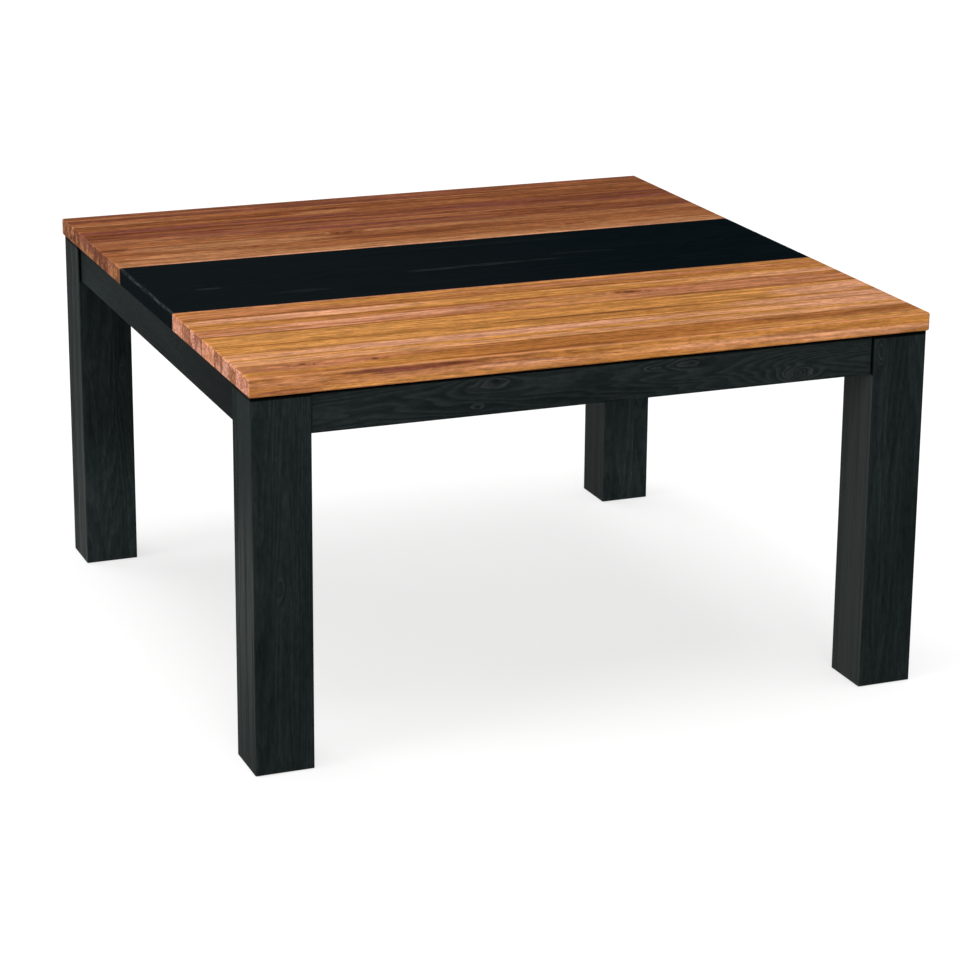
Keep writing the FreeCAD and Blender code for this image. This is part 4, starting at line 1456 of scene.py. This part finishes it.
def rounded(middle, radius, start, end):
    """Stations along an arc, from one angle to another."""
    turns = [start + (end - start) * step / ARC_STEPS for step in range(ARC_STEPS + 1)]
    return [(middle[0] + radius * math.cos(turn), middle[1] + radius * math.sin(turn)) for turn in turns]


def moulded_glide(height, sizes):
    """Glide about Z with a rounded foot, a recess for the nail's head and the nail's hole."""
    rim = sizes.glide_radius
    edge = sizes.glide_edge
    hole = sizes.nail_radius + sizes.nail_play
    recess = sizes.nail_head + sizes.nail_play
    lip = edge / 3
    return turn_on_lathe([
        (recess + lip, 0.0), *rounded((rim - edge, edge), edge, -math.pi / 2, 0.0), (rim, height - lip),
        (rim - lip, height), (hole, height), (hole, sizes.nail_recess), (recess, sizes.nail_recess),
        (recess, lip), (recess + lip, 0.0),
    ])


def round_nail(length, sizes):
    """Nail along Z with a slightly domed head at its foot and a long point."""
    shank = sizes.nail_radius
    thick = sizes.nail_head / 3
    dome = [(across * sizes.nail_head, up * thick) for across, up in NAIL_DOME]
    neck_across, neck_up = NAIL_NECK
    return turn_on_lathe([
        *dome, (neck_across * shank, thick), (shank, neck_up * thick), (shank, length - NAIL_POINT * shank),
        (sizes.tip_radius, length), (0.0, length),
    ])


def set_out(master, places, name, node, material):
    """Copy a modelled piece to each place, each turned its own way, and let the copies stand for a node."""
    copies = []
    for number, seat in enumerate(places):
        pick(master)
        bpy.ops.object.duplicate()
        copy = bpy.context.active_object
        aimed = UP.rotation_difference(seat.heading).to_matrix().to_4x4()
        spun = Matrix.Rotation(number * COPY_TURN, 4, "Z")
        copy.matrix_world = Matrix.Translation(seat.foot) @ aimed @ spun
        bpy.ops.object.transform_apply(location=True, rotation=True, scale=True)
        copies.append(copy)
    bpy.data.objects.remove(master)
    pick(*copies)
    if len(copies) > 1:
        bpy.ops.object.join()
    bpy.ops.object.shade_smooth_by_angle(angle=SMOOTH_ANGLE)
    piece = bpy.context.active_object
    piece.name = name
    piece.data.name = name
    piece.data.materials.append(material)
    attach(piece, "root")
    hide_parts(node)


class MakeBolts(bpy.types.Operator):
    """Model the hanger bolts with their washers and nuts"""
    bl_idname = "table.make_bolts"
    bl_label = "Make Bolts"

    def execute(self, context):
        sizes = context.scene.table_hardware
        steel = plated_steel(context.scene.table_hidden)
        models = {"hanger_bolts": hanger_bolt, "bolt_washers": flat_washer, "bolt_nuts": hexagon_nut}
        for node, model in models.items():
            places = seats(node, into_corner)
            piece = model(places[0].length, sizes)
            set_out(piece, places, f"bright_{node}", node, steel)
        return {"FINISHED"}


class MakeScrews(bpy.types.Operator):
    """Model the wood screws of the corner blocks, buttons and battens"""
    bl_idname = "table.make_screws"
    bl_label = "Make Screws"

    def execute(self, context):
        sizes = context.scene.table_hardware
        steel = plated_steel(context.scene.table_hidden)
        kinds = (
            ("block_screws", into_corner, countersunk_head),
            ("button_screws", upright, countersunk_head),
            ("batten_screws", upright, pan_head),
        )
        for node, heading, head in kinds:
            places = seats(node, heading)
            screw = wood_screw(places[0].length, head(sizes), sizes)
            set_out(screw, places, f"bright_{node}", node, steel)
        return {"FINISHED"}


class MakeGlides(bpy.types.Operator):
    """Model the glides under the legs and the nails that hold them"""
    bl_idname = "table.make_glides"
    bl_label = "Make Glides"

    def execute(self, context):
        sizes = context.scene.table_hardware
        finish = context.scene.table_hidden
        nylon = moulded_nylon(finish)
        for corner in CORNERS:
            node = f"glide_{corner}"
            low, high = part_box(node)
            seat = seat_of((low, high), upright)
            glide = moulded_glide(seat.length, sizes)
            set_out(glide, [seat], f"moulded_{node}", node, nylon)
        places = seats("glide_nails", upright)
        nail = round_nail(places[0].length, sizes)
        steel = plated_steel(finish)
        set_out(nail, places, "bright_glide_nails", "glide_nails", steel)
        return {"FINISHED"}


def turned(heading, dip, roll=0.0):
    """Turn of a lamp or camera that looks level along Y, then swings round, dips and rolls."""
    dipped = Matrix.Rotation(math.pi / 2 - dip, 4, "X")
    return Matrix.Rotation(heading, 4, "Z") @ dipped @ Matrix.Rotation(roll, 4, "Z")


def soft_lamp(lamp, strength, height):
    """Wide, even lamp that leaves the sheen to the surround."""
    light = bpy.data.lights.new(lamp.name, "SUN")
    light.energy = strength * math.pi
    light.angle = math.radians(lamp.spread)
    holder = bpy.data.objects.new(lamp.name, light)
    holder.visible_glossy = False
    turn = turned(math.radians(lamp.azimuth), math.radians(lamp.elevation))
    holder.matrix_world = Matrix.Translation((0.0, 0.0, height)) @ turn
    bpy.context.scene.collection.objects.link(holder)


def shown_rays(recipe):
    """Mask of what the camera sees straight on, in gloss or through glass."""
    path = recipe.node("ShaderNodeLightPath").outputs
    seen = recipe.math("MAXIMUM", path["Is Camera Ray"], path["Is Glossy Ray"])
    return recipe.math("MAXIMUM", seen, path["Is Transmission Ray"])


def pale_floor(studio):
    """Floor material that keeps the shadow and shows white to the camera, in gloss and through glass."""
    material, recipe, surface = new_material("pale_floor")
    surface["Base Color"].default_value = rgba(studio.floor)
    surface["Roughness"].default_value = 0.9
    surface["Specular IOR Level"].default_value = 0.0
    surface["Emission Color"].default_value = WHITE
    recipe.feed(surface["Emission Strength"], recipe.times(shown_rays(recipe), studio.floor_glow))
    return material


def white_surround(studio):
    """World that gives a low, even light and shows white to the camera, in gloss and through glass."""
    world = bpy.data.worlds.new("surround")
    world.use_nodes = True
    recipe = Recipe(world.node_tree)
    background = world.node_tree.nodes["Background"].inputs
    background["Color"].default_value = WHITE
    recipe.feed(background["Strength"], recipe.math("MAXIMUM", shown_rays(recipe), studio.surround))
    return world


class SetStage(bpy.types.Operator):
    """Set up the floor, the lamps and the camera"""
    bl_idname = "table.set_stage"
    bl_label = "Set Stage"

    def execute(self, context):
        scene = context.scene
        studio = scene.table_studio
        bpy.ops.object.select_all(action="DESELECT")
        bpy.ops.mesh.primitive_plane_add(size=studio.floor_size)
        floor = context.active_object
        floor.name = "floor"
        floor.data.materials.append(pale_floor(studio))
        scene.world = white_surround(studio)
        for lamp in LAMPS:
            soft_lamp(lamp, getattr(studio, lamp.strength), studio.lamp_height)
        camera = bpy.data.cameras.new("camera")
        camera.lens = studio.lens
        camera.shift_y = studio.camera_drop
        holder = bpy.data.objects.new("camera", camera)
        yaw, pitch, roll = studio.camera_turn
        holder.matrix_world = Matrix.Translation(studio.camera_place) @ turned(-yaw, pitch, roll)
        scene.collection.objects.link(holder)
        scene.camera = holder
        scene.view_settings.view_transform = "Standard"
        return {"FINISHED"}


class TablePanel(bpy.types.Panel):
    """Lists the steps that finish the table"""
    bl_idname = "VIEW3D_PT_square_table"
    bl_label = "Square Table"
    bl_space_type = "VIEW_3D"
    bl_region_type = "UI"
    bl_category = "Table"

    def draw(self, context):
        for operator in OPERATORS:
            self.layout.operator(operator.bl_idname)


OPERATORS = (
    FinishStaves, FinishCentrePanel, FinishLegs, FinishAprons, FinishHiddenWood,
    MakeBolts, MakeScrews, MakeGlides, SetStage,
)
GROUPS = {
    "table_hardwood": HardwoodTones,
    "table_black": BlackFinish,
    "table_hidden": HiddenFinish,
    "table_hardware": HardwareSizes,
    "table_studio": Studio,
}
CLASSES = (*GROUPS.values(), *OPERATORS, TablePanel)


def register():
    """Make the classes and their settings known."""
    for item in CLASSES:
        bpy.utils.register_class(item)
    for name, group in GROUPS.items():
        setattr(bpy.types.Scene, name, PointerProperty(type=group))


def unregister():
    """Take the classes and their settings away again."""
    for name in GROUPS:
        delattr(bpy.types.Scene, name)
    for item in reversed(CLASSES):
        bpy.utils.unregister_class(item)


def main():
    """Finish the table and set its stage."""
    register()
    bpy.ops.table.finish_staves()
    bpy.ops.table.finish_centre_panel()
    bpy.ops.table.finish_legs()
    bpy.ops.table.finish_aprons()
    bpy.ops.table.finish_hidden_wood()
    bpy.ops.table.make_bolts()
    bpy.ops.table.make_screws()
    bpy.ops.table.make_glides()
    bpy.ops.table.set_stage()


if __name__ == "__main__":
    main()
